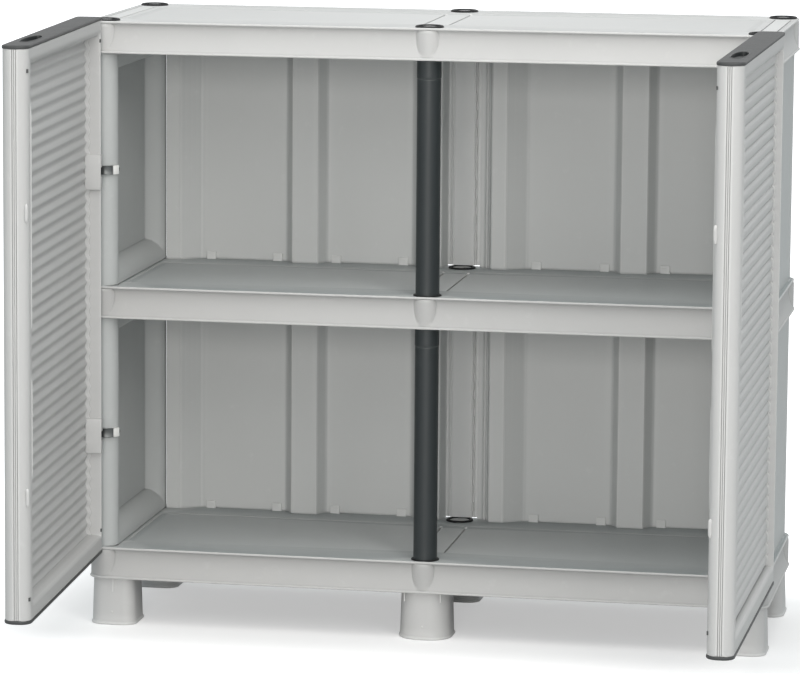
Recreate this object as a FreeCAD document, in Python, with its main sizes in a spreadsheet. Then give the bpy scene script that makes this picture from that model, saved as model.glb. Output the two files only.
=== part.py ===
import FreeCAD, Part

import math
import os
from types import SimpleNamespace

import Sketcher

# Garden storage cabinet, two tiers, two doors standing open as they do at rest.
# Origin: on the floor, straight under the axis of the front middle column. Front is -Y, up is +Z.
# All lengths are in millimetres.

SIZES = {
    # whole cabinet
    "body_width": 1020,
    "body_depth": 350,
    "tier_pitch": 395,
    "foot_height": 71,
    # shelf panels
    "fascia_height": 47,
    "deck_thickness": 4,
    "skirt_wall": 3,
    "scoop_depth": 6.5,
    "scoop_lip": 2.5,
    "scoop_dip": 5,
    "scoop_foot": 2,
    "scoop_bow": 2.2,
    "boss_wall": 6.25,
    "upper_socket": 12,
    "socket_stop": 4,
    "slot_offset": 19,
    "slot_width": 3,
    "slot_length": 186,
    "slot_depth": 3,
    # posts, columns and their fit in the sockets
    "post_radius": 17.75,
    "post_wall": 3,
    "socket_fit": 0.3,
    "seat_slack": 1,
    "sleeve_drop": 27,
    # side panels
    "web_inner": 6.5,
    "web_outer": 14.5,
    "ramp_height": 45,
    "ramp_foot": 4,
    "ramp_wall": 3,
    "tongue_thickness": 12,
    "tongue_height": 12,
    # back panels
    "sheet_wall": 3,
    "rib_depth": 14,
    "rib_width": 40,
    "rib_slope": 10.5,
    "wide_slope": 27,
    "inner_border": 45,
    "outer_border": 34,
    "strip_over": 0.7,
    "clip_width": 15,
    "clip_height": 12,
    "clip_thick": 3,
    "clip_inset": 8,
    # socket rings
    "ring_flange": 3.25,
    "ring_wall": 1.75,
    "ring_height": 3,
    "ring_spigot": 10,
    "ring_ledge": 2,
    "plug_top": 1.2,
    # feet
    "foot_width": 70,
    "foot_setback": 5,
    "foot_flare": 2,
    "foot_wall": 3.5,
    "foot_round": 16,
    "foot_front_round": 30,
    "spigot_slack": 3,
    # doors
    "door_meeting": 4,
    "door_thickness": 37,
    "door_gap": 2,
    "door_wall": 2.2,
    "door_rise": 3,
    "door_clear": 0.5,
    "pin_inset": 8,
    "hinge_round": 8,
    "seam_half": 1,
    "free_solid": 14,
    "panel_start": 97,
    "panel_free": 22,
    "panel_border": 27,
    "panel_recess": 2.5,
    "cap_thickness": 5,
    "cap_over": 1,
    "cap_spigot": 10,
    "hole_length": 100,
    "hole_width": 20,
    "hole_from_end": 112,
    # hinges
    "block_length": 105,
    "block_height": 52,
    "block_back": 9,
    "block_proud": 1.5,
    "pin_radius": 2.5,
    "pin_clear": 0.08,
    "knuckle_radius": 6,
    "arm_height": 13,
    "arm_thick": 5,
    "arm_past": 4,
    "running_gap": 0.7,
    "collar_reach": 4,
    "collar_width": 14,
    "collar_height": 20,
    "screw_radius": 1.8,
    "screw_head": 3.6,
    "screw_head_high": 2.4,
    # joints at rest, degrees from closed
    "left_open": 87,
    "right_open": 89.5,
    # small fits
    "fit": 0.2,
    "margin": 1,
}

DOC = FreeCAD.newDocument("garden_cabinet")
SHEET = DOC.addObject("Spreadsheet::Sheet", "sizes")
NODES = []


class Size:
    """A size that holds its spreadsheet expression and its present number together."""

    def __init__(self, text, value):
        self.text = text
        self.value = value

    def join(self, sign, other, value, swap=False):
        parts = (self.text, sign, text_of(other))
        if swap:
            parts = (text_of(other), sign, self.text)
        return Size("(%s %s %s)" % parts, value)

    def __add__(self, other):
        return self.join("+", other, self.value + number_of(other))

    def __radd__(self, other):
        return self.join("+", other, number_of(other) + self.value, swap=True)

    def __sub__(self, other):
        return self.join("-", other, self.value - number_of(other))

    def __rsub__(self, other):
        return self.join("-", other, number_of(other) - self.value, swap=True)

    def __mul__(self, other):
        return self.join("*", other, self.value * number_of(other))

    def __rmul__(self, other):
        return self.join("*", other, number_of(other) * self.value, swap=True)

    def __truediv__(self, other):
        return self.join("/", other, self.value / number_of(other))

    def __neg__(self):
        return Size("(0 - %s)" % self.text, -self.value)


def text_of(value):
    return value.text if isinstance(value, Size) else "(%r)" % value


def number_of(value):
    return value.value if isinstance(value, Size) else value


def as_size(value):
    return value if isinstance(value, Size) else Size("(%r)" % value, value)


def root_of(size):
    return Size("sqrt(%s)" % size.text, math.sqrt(size.value))


def fill_sheet():
    """Puts every driving size into the sheet and gives its alias back as a Size."""
    named = {}
    for row, (alias, value) in enumerate(SIZES.items(), start=1):
        SHEET.set("A%d" % row, alias)
        SHEET.set("B%d" % row, str(value))
        SHEET.setAlias("B%d" % row, alias)
        named[alias] = Size("sizes.%s" % alias, value)
    DOC.recompute()
    return SimpleNamespace(**named)


S = fill_sheet()

# Places that several pieces share
HALF_W = S.body_width / 2
BOSS_RADIUS = S.post_radius + S.boss_wall
FRONT = -BOSS_RADIUS
REAR = S.body_depth - BOSS_RADIUS
REAR_ROW = REAR - BOSS_RADIUS
MIDDLE_Y = REAR_ROW / 2
SOCKET_X = HALF_W - BOSS_RADIUS
LOWER_SOCKET = S.fascia_height - S.upper_socket - S.socket_stop
BASE_DECK = S.foot_height + S.fascia_height
MIDDLE_DECK = BASE_DECK + S.tier_pitch
TOP_DECK = MIDDLE_DECK + S.tier_pitch
OPENING = S.tier_pitch - S.fascia_height
SKIRT = S.skirt_wall + S.scoop_depth
HALF_T = S.door_thickness / 2
DOOR_WIDTH = (S.body_width - S.door_meeting) / 2
DOOR_END = DOOR_WIDTH - S.pin_inset
SHELL_BOTTOM = BASE_DECK + S.door_clear
SHELL_TOP = TOP_DECK + S.door_rise
HINGE_X = HALF_W - S.pin_inset
HINGE_Y = FRONT - S.door_gap - HALF_T
ARM_X = SOCKET_X - HINGE_X
ARM_Y = -HINGE_Y
ARM_LENGTH = root_of(ARM_X * ARM_X + ARM_Y * ARM_Y)
BACK_REAR = REAR - SKIRT - 2 * S.margin
BACK_FRONT = BACK_REAR - S.sheet_wall
RIB_FRONT = BACK_FRONT - S.rib_depth
STRIP_HALF = BOSS_RADIUS + S.strip_over
PANEL_INNER = STRIP_HALF + S.fit
PANEL_OUTER = SOCKET_X - S.post_radius - S.socket_fit
RING_RADIUS = S.post_radius + S.ring_flange
RING_INNER = S.post_radius - S.ring_wall
TIERS = {"lower": BASE_DECK, "upper": MIDDLE_DECK}
SIDES = {"left": -1, "right": 1}


# Sketches and features

def new_body(label):
    body = DOC.addObject("PartDesign::Body", label)
    body.Label = label
    NODES.append(body)
    return body


def sketch_on(body, role, offset):
    """A sketch on one of the body's own planes, lifted by offset along the plane's normal."""
    plane = next(f for f in body.Origin.OriginFeatures if f.Role == role)
    sketch = body.newObject("Sketcher::SketchObject", body.Name + "_sketch")
    sketch.AttachmentSupport = [(plane, "")]
    sketch.MapMode = "FlatFace"
    sketch.setExpression("AttachmentOffset.Base.z", as_size(offset).text)
    return sketch


def hold(sketch, kind, references, size):
    """Adds one dimension and binds it to its expression."""
    index = sketch.addConstraint(Sketcher.Constraint(kind, *references, size.value))
    sketch.setExpression("Constraints[%d]" % index, size.text)


def hold_point(sketch, line, end, x, y):
    hold(sketch, "DistanceX", (-1, 1, line, end), as_size(x))
    hold(sketch, "DistanceY", (-1, 1, line, end), as_size(y))


def add_polygon(sketch, points, bows=None):
    """A closed outline. bows gives the rise of an edge that is an arc, to the left of its direction."""
    bows = bows or {}
    ends = [(as_size(x), as_size(y)) for x, y in points]
    edges = []
    for index, (x0, y0) in enumerate(ends):
        x1, y1 = ends[(index + 1) % len(ends)]
        start = FreeCAD.Vector(x0.value, y0.value, 0)
        end = FreeCAD.Vector(x1.value, y1.value, 0)
        if index in bows:
            across = end - start
            left = FreeCAD.Vector(-across.y, across.x, 0).normalize()
            middle = (start + end) * 0.5 + left * bows[index].value
            edges.append(sketch.addGeometry(Part.Arc(start, middle, end)))
        else:
            edges.append(sketch.addGeometry(Part.LineSegment(start, end)))
    for index, edge in enumerate(edges):
        x0, y0 = ends[index]
        x1, y1 = ends[(index + 1) % len(ends)]
        if index in bows:
            # an arc that turns right runs clockwise, so the sketch swaps its ends
            near, far = (2, 1) if bows[index].value > 0 else (1, 2)
            hold_point(sketch, edge, near, x0, y0)
            hold_point(sketch, edge, far, x1, y1)
            across, up, rise = x1 - x0, y1 - y0, bows[index]
            square = across * across + up * up
            bend = (square / 4 + rise * rise) / (2 * rise)
            if bend.value < 0:
                bend = -bend
            hold(sketch, "Radius", (edge,), bend)
        else:
            hold_point(sketch, edge, 1, x0, y0)
            hold_point(sketch, edge, 2, x1, y1)


def add_rectangle(sketch, x0, y0, x1, y1):
    add_polygon(sketch, [(x0, y0), (x1, y0), (x1, y1), (x0, y1)])


def add_circle(sketch, x, y, radius):
    centre = FreeCAD.Vector(number_of(x), number_of(y), 0)
    circle = sketch.addGeometry(Part.Circle(centre, FreeCAD.Vector(0, 0, 1), number_of(radius)))
    hold_point(sketch, circle, 3, x, y)
    hold(sketch, "Radius", (circle,), as_size(radius))


def add_feature(body, kind, sketch, length, forward):
    feature = body.newObject("PartDesign::" + kind, body.Name + "_" + kind.lower())
    feature.Profile = sketch
    feature.setExpression("Length", as_size(length).text)
    feature.Reversed = (not forward) if kind == "Pad" else forward
    return feature


def pad(body, sketch, length, forward=True):
    """Material from the sketch along its normal, or against it."""
    return add_feature(body, "Pad", sketch, length, forward)


def cut(body, sketch, length, forward=True):
    """A cut from the sketch along its normal, or against it."""
    return add_feature(body, "Pocket", sketch, length, forward)


def turn(body, sketch):
    """A ring or knob from a profile turned about the upright axis."""
    feature = body.newObject("PartDesign::Revolution", body.Name + "_turned")
    feature.Profile = sketch
    feature.ReferenceAxis = (sketch, ["V_Axis"])
    feature.Angle = 360
    return feature


def round_uprights(body, places, radius):
    """Rounds the upright edges of the body's last feature that stand near the given places."""
    DOC.recompute()
    tip = body.Tip
    names = []
    for index, edge in enumerate(tip.Shape.Edges, start=1):
        if abs(edge.tangentAt(edge.FirstParameter).z) < 0.99:
            continue
        middle = edge.CenterOfMass
        for x, y in places:
            if math.hypot(middle.x - number_of(x), middle.y - number_of(y)) < 3:
                names.append("Edge%d" % index)
    if len(names) < len(places):
        raise ValueError("%s: %d edges to round, %d found" % (body.Label, len(places), len(names)))
    fillet = body.newObject("PartDesign::Fillet", body.Name + "_round")
    fillet.Base = (tip, names)
    fillet.setExpression("Radius", as_size(radius).text)


def circles(body, level, places, radius):
    sketch = sketch_on(body, "XY_Plane", level)
    for x, y in places:
        add_circle(sketch, x, y, radius)
    return sketch


def box_sketch(body, level, x0, y0, x1, y1):
    sketch = sketch_on(body, "XY_Plane", level)
    add_rectangle(sketch, x0, y0, x1, y1)
    return sketch


def place(item, x, y, z=0, angle=0):
    """Stands an item at a point, turned by angle degrees about the upright axis."""
    base = FreeCAD.Vector(number_of(x), number_of(y), number_of(z))
    item.Placement = FreeCAD.Placement(base, FreeCAD.Rotation(FreeCAD.Vector(0, 0, 1), angle))


def block(name, x0, y0, z0, x1, y1, z1):
    """A plain upright box between two corners."""
    item = DOC.addObject("Part::Box", name)
    corners = ((x0, x1, "Length", "x"), (y0, y1, "Width", "y"), (z0, z1, "Height", "z"))
    for low, high, side, axis in corners:
        item.setExpression(side, (as_size(high) - low).text)
        item.setExpression("Placement.Base." + axis, as_size(low).text)
    return item


def rod(name, radius, length):
    item = DOC.addObject("Part::Cylinder", name)
    item.setExpression("Radius", as_size(radius).text)
    item.setExpression("Height", as_size(length).text)
    return item


def group(label, items):
    """Several separate pieces of one kind under one name."""
    compound = DOC.addObject("Part::Compound", label)
    compound.Links = items
    compound.Label = label
    NODES.append(compound)
    return compound


# Shelf panels

def socket_places():
    return [(side * SOCKET_X, row) for row in (0, REAR_ROW) for side in (-1, 0, 1)]


def scoop_profile(sketch, face, sign, deck):
    """The hollow of a fascia in section: a short dip under the top lip, then a concave run to the foot."""
    outside = face + sign * S.margin
    deep = face - sign * S.scoop_depth
    top = deck - S.scoop_lip
    foot = deck - S.fascia_height + S.scoop_foot
    points = [(outside, top), (face, top), (deep, top - S.scoop_dip), (face, foot), (outside, foot)]
    add_polygon(sketch, points, bows={2: -sign * S.scoop_bow})


def shelf(label, deck):
    body = new_body(label)
    under = deck - S.fascia_height
    pad(body, box_sketch(body, under, -HALF_W, FRONT, HALF_W, REAR), S.fascia_height)
    corners = [(x * HALF_W, y) for x in (-1, 1) for y in (FRONT, REAR)]
    round_uprights(body, corners, BOSS_RADIUS)
    lengthwise = sketch_on(body, "YZ_Plane", -HALF_W - S.margin)
    scoop_profile(lengthwise, FRONT, -1, deck)
    scoop_profile(lengthwise, REAR, 1, deck)
    cut(body, lengthwise, S.body_width + 2 * S.margin)
    crosswise = sketch_on(body, "XZ_Plane", -REAR - S.margin)
    scoop_profile(crosswise, -HALF_W, -1, deck)
    scoop_profile(crosswise, HALF_W, 1, deck)
    cut(body, crosswise, S.body_depth + 2 * S.margin)
    inside_x = HALF_W - SKIRT
    hollow = box_sketch(body, under, -inside_x, FRONT + SKIRT, inside_x, REAR - SKIRT)
    cut(body, hollow, S.fascia_height - S.deck_thickness)
    pad(body, circles(body, under, socket_places(), BOSS_RADIUS), S.fascia_height)
    bore = S.post_radius + S.socket_fit
    cut(body, circles(body, under, socket_places(), bore), LOWER_SOCKET)
    cut(body, circles(body, deck, socket_places(), bore), S.upper_socket, forward=False)
    slots = sketch_on(body, "XY_Plane", deck)
    for side in (-1, 1):
        near = side * S.slot_offset - S.slot_width / 2
        start = MIDDLE_Y - S.slot_length / 2
        add_rectangle(slots, near, start, near + S.slot_width, start + S.slot_length)
    cut(body, slots, S.slot_depth, forward=False)


# Feet

def foot(label, side, end):
    """A hollow flared foot with a spigot for the socket above it. side is -1, 0 or 1, end -1 or 1."""
    body = new_body(label)
    half = S.foot_width / 2
    wide = half + S.foot_flare
    centre_x = side * (HALF_W - S.foot_setback - half)
    centre_y = MIDDLE_Y + end * (S.body_depth / 2 - S.foot_setback - half)
    shell = pad(body, box_sketch(body, 0, -wide, -wide, wide, wide), S.foot_height)
    shell.setExpression("TaperAngle", "-atan(%s)" % (S.foot_flare / S.foot_height).text)
    corners = [(x * wide, y * wide) for x in (-1, 1) for y in (-1, 1)]
    if side:
        round_uprights(body, corners, S.foot_round)
    else:
        round_uprights(body, [c for c in corners if c[1].value * end > 0], S.foot_front_round)
        round_uprights(body, [c for c in corners if c[1].value * end < 0], S.foot_round)
    inner = half - S.foot_wall - 3 * S.margin
    cut(body, box_sketch(body, 0, -inner, -inner, inner, inner), S.foot_height - S.foot_wall)
    spigot = [(side * SOCKET_X - centre_x, MIDDLE_Y + end * MIDDLE_Y - centre_y)]
    pad(body, circles(body, S.foot_height, spigot, S.post_radius), LOWER_SOCKET - S.spigot_slack)
    place(body, centre_x, centre_y)


# Side panels

def arm_direction(side):
    """Unit vector of a hinge arm, from the door's pin to the middle of the front post."""
    return (side * ARM_X / ARM_LENGTH, ARM_Y / ARM_LENGTH)


def hinge_level(deck):
    return deck + OPENING / 2


def wall_sketch(body, side, deck, y, outline):
    """An upright outline across the cabinet. Its points are (towards the inside from the posts, above the deck)."""
    sketch = sketch_on(body, "XZ_Plane", -y)
    middle = side * SOCKET_X
    add_polygon(sketch, [(middle - side * inward, deck + height) for inward, height in outline])
    return sketch


def side_wall(body, side, deck):
    """The wall between the posts: a deep field on the inside that runs out over a ramp at both ends."""
    low = [(-S.web_outer, as_size(0)), (S.post_radius, as_size(0)), (S.post_radius, S.ramp_foot)]
    low += [(-S.web_inner, S.ramp_height)]
    high = [(inward, OPENING - height) for inward, height in low[::-1]]
    pad(body, wall_sketch(body, side, deck, REAR_ROW, low + high), REAR_ROW)
    wall = S.ramp_wall
    near = S.post_radius + wall
    level = S.ramp_height - 2 * wall
    foot = [(wall - S.web_outer, -S.margin), (S.post_radius - wall, -S.margin)]
    foot += [(S.post_radius - wall, S.ramp_foot - S.margin), (-S.web_inner, level)]
    foot += [(wall - S.web_outer, level)]
    hollow = wall_sketch(body, side, deck, REAR_ROW - near, foot)
    cut(body, hollow, REAR_ROW - 2 * near, forward=True)


def side_panel(label, side, deck):
    body = new_body(label)
    middle = side * SOCKET_X
    side_wall(body, side, deck)
    half_tongue = S.tongue_thickness / 2
    near = BOSS_RADIUS + S.margin
    far = REAR_ROW - near
    tongue = box_sketch(body, deck + OPENING, middle - half_tongue, near, middle + half_tongue, far)
    pad(body, tongue, S.tongue_height)
    posts = [(middle, 0), (middle, REAR_ROW)]
    bottom = deck - S.upper_socket
    length = OPENING + S.upper_socket + LOWER_SOCKET - S.seat_slack
    pad(body, circles(body, bottom, posts, S.post_radius), length)
    cut(body, circles(body, bottom, posts, S.post_radius - S.post_wall), length)
    # mortise for the hinge arm, from outside the front post into its bore
    along_x, along_y = arm_direction(side)
    half_thick = S.arm_thick / 2 + S.fit
    outer = ARM_LENGTH - S.post_radius - S.margin
    inner = ARM_LENGTH - S.post_wall
    corners = []
    for reach, across in ((outer, -1), (inner, -1), (inner, 1), (outer, 1)):
        x = side * HINGE_X + along_x * reach - along_y * half_thick * across
        y = HINGE_Y + along_y * reach + along_x * half_thick * across
        corners.append((x, y))
    half_high = S.arm_height / 2 + S.fit
    mortise = sketch_on(body, "XY_Plane", hinge_level(deck) - half_high)
    add_polygon(mortise, corners)
    cut(body, mortise, 2 * half_high)
    # pilot hole for the screw, through the inner side of the front post
    pilot = sketch_on(body, "YZ_Plane", middle - side * (S.post_radius + S.margin))
    add_circle(pilot, 0, hinge_level(deck), S.screw_radius + S.fit / 2)
    cut(body, pilot, S.post_wall + 2 * S.margin, forward=side > 0)


# Back panels, joining strips and clips

def panel_stations(side):
    """X of the places at which the ribbed sheet changes level, from left to right. Both halves are one moulding."""
    left, right = (-PANEL_OUTER, -PANEL_INNER) if side < 0 else (PANEL_INNER, PANEL_OUTER)
    borders = (S.outer_border, S.inner_border)[::-side]
    ribs = S.wide_slope + 3 * S.rib_slope + S.rib_width
    field = (PANEL_OUTER - PANEL_INNER - S.outer_border - S.inner_border - ribs) / 2
    stations = [left]
    steps = (borders[0], S.wide_slope, field, S.rib_slope, S.rib_width, S.rib_slope, field, S.rib_slope)
    for step in steps:
        stations.append(stations[-1] + step)
    stations.append(right)
    return stations


def ribbed_sheet(body, side, level, outer, height):
    stations = panel_stations(side)[::side]
    stations[-1] = side * outer
    levels = [RIB_FRONT, RIB_FRONT, BACK_FRONT, BACK_FRONT, RIB_FRONT]
    levels = levels + [RIB_FRONT, BACK_FRONT, BACK_FRONT, RIB_FRONT, RIB_FRONT]
    front = list(zip(stations, levels))
    back = [(x, y + S.sheet_wall) for x, y in front[1:]]
    flange = stations[0] + side * S.sheet_wall
    turned = [(flange, RIB_FRONT + S.sheet_wall), (flange, BACK_REAR), (stations[0], BACK_REAR)]
    sketch = sketch_on(body, "XY_Plane", level)
    add_polygon(sketch, front + back[::-1] + turned)
    pad(body, sketch, height)


def back_panel(label, side, deck):
    body = new_body(label)
    beside_boss = SOCKET_X - BOSS_RADIUS - S.margin
    ribbed_sheet(body, side, deck, PANEL_OUTER, OPENING)
    ribbed_sheet(body, side, deck + OPENING, beside_boss, S.tongue_height)


def joining_strip(label, deck):
    low = deck + S.ring_height + S.fit
    high = deck + OPENING
    strip = block(label, -STRIP_HALF, BACK_FRONT, low, STRIP_HALF, BACK_REAR, high)
    strip.Label = label
    NODES.append(strip)


def clips():
    """Small tabs at both ends of each field of the back panels, standing on the decks."""
    items = []
    for deck in TIERS.values():
        for side in (-1, 1):
            stations = panel_stations(side)
            for low, high in ((stations[2], stations[3]), (stations[6], stations[7])):
                for left in (low + S.clip_inset, high - S.clip_inset - S.clip_width):
                    front = BACK_FRONT - S.clip_thick
                    right = left + S.clip_width
                    name = "clip_%d" % len(items)
                    items.append(block(name, left, front, deck, right, BACK_FRONT, deck + S.clip_height))
    group("back_panel_clips", items)


# Columns and socket rings

def tube(label, bottom, top):
    body = new_body(label)
    length = top - bottom
    pad(body, circles(body, bottom, [(0, 0)], S.post_radius), length)
    cut(body, circles(body, bottom, [(0, 0)], S.post_radius - S.post_wall), length)


def column(tier, deck):
    seam = deck + OPENING - S.sleeve_drop
    tube("front_column_" + tier, deck - S.upper_socket, seam)
    tube("column_sleeve_" + tier, seam, deck + OPENING + LOWER_SOCKET - S.seat_slack)


def socket_ring(label, x, y, deck):
    """A flanged ring pressed into an open socket, with a ledge inside for its plug."""
    body = new_body(label)
    sleeve = S.post_radius
    bore = RING_INNER - S.ring_ledge
    profile = sketch_on(body, "XZ_Plane", 0)
    outline = [(bore, -S.ring_spigot), (sleeve, -S.ring_spigot), (sleeve, 0), (RING_RADIUS, 0)]
    outline += [(RING_RADIUS, S.ring_height), (RING_INNER, S.ring_height)]
    outline += [(RING_INNER, -S.ring_ledge), (bore, -S.ring_ledge)]
    add_polygon(profile, outline)
    turn(body, profile)
    place(body, x, y, deck)


def ring_places():
    """Every open socket: all six of the top panel, and the rear middle one of the lower two panels."""
    columns = {"left": -SOCKET_X, "middle": as_size(0), "right": SOCKET_X}
    rows = {"front": as_size(0), "rear": REAR_ROW}
    places = {}
    for row, y in rows.items():
        for name, x in columns.items():
            places["top_%s_%s" % (row, name)] = (x, y, TOP_DECK)
    places["middle_shelf"] = (as_size(0), REAR_ROW, MIDDLE_DECK)
    places["base"] = (as_size(0), REAR_ROW, BASE_DECK)
    return places


def rings_and_plugs():
    plugs = []
    for name, (x, y, deck) in ring_places().items():
        socket_ring("socket_ring_" + name, x, y, deck)
        plug = rod("plug_" + name, RING_INNER - S.socket_fit, S.ring_ledge + S.plug_top)
        place(plug, x, y, deck - S.ring_ledge)
        plugs.append(plug)
    group("socket_plugs", plugs)


def column_base_rings():
    rings = []
    for tier, deck in TIERS.items():
        outer = rod("base_ring_outer_" + tier, RING_RADIUS, S.ring_height)
        inner = rod("base_ring_inner_" + tier, S.post_radius + S.fit, S.ring_height)
        for item in (outer, inner):
            place(item, 0, 0, deck)
        ring = DOC.addObject("Part::Cut", "base_ring_" + tier)
        ring.Base = outer
        ring.Tool = inner
        rings.append(ring)
    group("column_base_rings", rings)


# Doors: built closed, with the hinge pin at the body's origin, then turned to where they stand

def stand_door_piece(body, side):
    opening = S.left_open if side < 0 else S.right_open
    place(body, side * HINGE_X, HINGE_Y, 0, side * opening.value)


def door_box(body, side, level, x0, y0, x1, y1):
    """A rectangle in the door's plan: x runs from the hinge to the free edge, y from front to cabinet."""
    return box_sketch(body, level, -side * x0, y0, -side * x1, y1)


def door_shell(label, side, face):
    """One half of a door. face is 1 for the half towards the cabinet and -1 for the outer one."""
    body = new_body(label)
    start = -S.pin_inset
    end = DOOR_END
    height = SHELL_TOP - SHELL_BOTTOM
    skin = face * HALF_T
    pad(body, door_box(body, side, SHELL_BOTTOM, start, 0, end, skin), height)
    round_uprights(body, [(-side * end, skin)], HALF_T - S.seam_half)
    round_uprights(body, [(-side * start, skin)], S.hinge_round)
    depth = face * (HALF_T - S.panel_recess - S.door_wall)
    inside = door_box(body, side, SHELL_BOTTOM, start + S.door_wall, 0, end - S.free_solid, depth)
    cut(body, inside, height)
    field = sketch_on(body, "XZ_Plane", -skin)
    low = SHELL_BOTTOM + S.panel_border
    high = SHELL_TOP - S.panel_border
    add_rectangle(field, -side * S.panel_start, low, -side * (DOOR_END - S.panel_free), high)
    cut(body, field, S.panel_recess, forward=face > 0)
    for deck in TIERS.values():
        half_block = S.block_height / 2 + S.fit
        level = hinge_level(deck) - half_block
        x0 = start - S.margin
        x1 = start + S.block_length + S.fit
        y0 = -(S.block_back + S.fit)
        y1 = HALF_T + S.margin
        cut(body, door_box(body, side, level, x0, y0, x1, y1), 2 * half_block)
    stand_door_piece(body, side)


def door_cap(label, side, end):
    """The plate that closes both shells. end is 1 at the top and -1 at the bottom."""
    body = new_body(label)
    over = S.cap_over
    near = -S.pin_inset - over
    far = DOOR_END + over
    half = HALF_T + over
    seat = SHELL_TOP if end > 0 else SHELL_BOTTOM
    plate_low = seat if end > 0 else seat - S.cap_thickness
    spigot_low = seat - S.cap_spigot if end > 0 else seat
    pad(body, door_box(body, side, plate_low, near, -half, far, half), S.cap_thickness)
    for sign in (-1, 1):
        round_uprights(body, [(-side * far, sign * half)], half - S.seam_half)
        round_uprights(body, [(-side * near, sign * half)], S.hinge_round + over)
    inside = HALF_T - S.panel_recess - S.door_wall - S.socket_fit
    start = -S.pin_inset + S.door_wall + S.socket_fit
    stop = DOOR_END - S.free_solid - S.socket_fit
    pad(body, door_box(body, side, spigot_low, start, -inside, stop, inside), S.cap_spigot)
    wall = S.door_wall
    hollow = door_box(body, side, spigot_low, start + wall, wall - inside, stop - wall, inside - wall)
    cut(body, hollow, S.cap_spigot)
    middle = DOOR_END - S.hole_from_end
    straight = (S.hole_length - S.hole_width) / 2
    half_hole = S.hole_width / 2
    slot = door_box(body, side, plate_low, middle - straight, -half_hole, middle + straight, half_hole)
    cut(body, slot, S.cap_thickness)
    ends = [(-side * (middle + sign * straight), 0) for sign in (-1, 1)]
    cut(body, circles(body, plate_low, ends, half_hole), S.cap_thickness)
    stand_door_piece(body, side)


def hinge_block(label, side, deck):
    """The block in the door's edge that holds the pin, open towards the cabinet for the arm."""
    body = new_body(label)
    level = hinge_level(deck)
    half_high = S.block_height / 2
    start = -S.pin_inset
    end = start + S.block_length
    face = HALF_T + S.block_proud
    low = level - half_high
    pad(body, door_box(body, side, low, start, -S.block_back, end, face), S.block_height)
    round_uprights(body, [(-side * start, face)], S.hinge_round)
    half_notch = S.arm_height / 2 + S.running_gap
    notch_x = S.pin_inset + S.arm_thick
    notch_y = -(S.knuckle_radius + S.running_gap)
    notch = door_box(body, side, level - half_notch, start - S.margin, notch_y, notch_x, face + S.margin)
    cut(body, notch, 2 * half_notch)
    cut(body, circles(body, low, [(0, 0)], S.pin_radius + S.pin_clear), S.block_height)
    stand_door_piece(body, side)


def hinge_pin(label, side, deck):
    pin = rod(label, S.pin_radius, S.block_height)
    pin.Label = label
    place(pin, side * HINGE_X, HINGE_Y, hinge_level(deck) - S.block_height / 2)
    NODES.append(pin)


# Hinge arms, collars and screws: they stay with the cabinet

def stand_arm_piece(body, side, deck):
    angle = math.degrees(math.atan2(ARM_Y.value, side * ARM_X.value))
    place(body, side * HINGE_X, HINGE_Y, hinge_level(deck), angle)


def hinge_arm(label, side, deck):
    body = new_body(label)
    half_high = S.arm_height / 2
    half_thick = S.arm_thick / 2
    pad(body, circles(body, -half_high, [(0, 0)], S.knuckle_radius), S.arm_height)
    bar = box_sketch(body, -half_high, half_thick, -half_thick, ARM_LENGTH + S.arm_past, half_thick)
    pad(body, bar, S.arm_height)
    cut(body, circles(body, -half_high, [(0, 0)], S.pin_radius + S.pin_clear), S.arm_height)
    stand_arm_piece(body, side, deck)


def hinge_collar(label, side, deck):
    """The light collar between the arm and the post, hollowed to the post's round."""
    body = new_body(label)
    half_high = S.collar_height / 2
    half_wide = S.collar_width / 2
    inner = ARM_LENGTH - S.post_radius
    outer = inner - S.collar_reach
    back = inner + S.collar_reach / 2
    pad(body, box_sketch(body, -half_high, outer, -half_wide, back, half_wide), S.collar_height)
    round_uprights(body, [(outer, -half_wide), (outer, half_wide)], S.collar_reach / 2)
    post = circles(body, -half_high, [(ARM_LENGTH, 0)], S.post_radius + S.fit / 2)
    cut(body, post, S.collar_height)
    half_thick = S.arm_thick / 2 + S.fit / 2
    half_arm = S.arm_height / 2 + S.fit / 2
    opening = box_sketch(body, -half_arm, outer - S.margin, -half_thick, back + S.margin, half_thick)
    cut(body, opening, 2 * half_arm)
    stand_arm_piece(body, side, deck)


def hinge_screws():
    """A screw through the inner side of each front post, against the arm."""
    items = []
    for side in SIDES.values():
        for tier, deck in TIERS.items():
            length = S.post_radius - S.arm_thick / 2 - S.fit - S.margin
            shank = rod("shank_%d" % len(items), S.screw_radius, length)
            head = rod("head_%d" % len(items), S.screw_head, S.screw_head_high)
            seat = side * (SOCKET_X - S.post_radius)
            along = FreeCAD.Vector(side, 0, 0)
            turned = FreeCAD.Rotation(FreeCAD.Vector(0, 0, 1), along)
            level = hinge_level(deck).value
            at_seat = FreeCAD.Vector(seat.value, 0, level)
            shank.Placement = FreeCAD.Placement(at_seat, turned)
            head.Placement = FreeCAD.Placement(at_seat - along * S.screw_head_high.value, turned)
            screw = DOC.addObject("Part::MultiFuse", "screw_%s_%d" % (tier, len(items)))
            screw.Shapes = [shank, head]
            items.append(screw)
    group("hinge_screws", items)


# The whole cabinet

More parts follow.
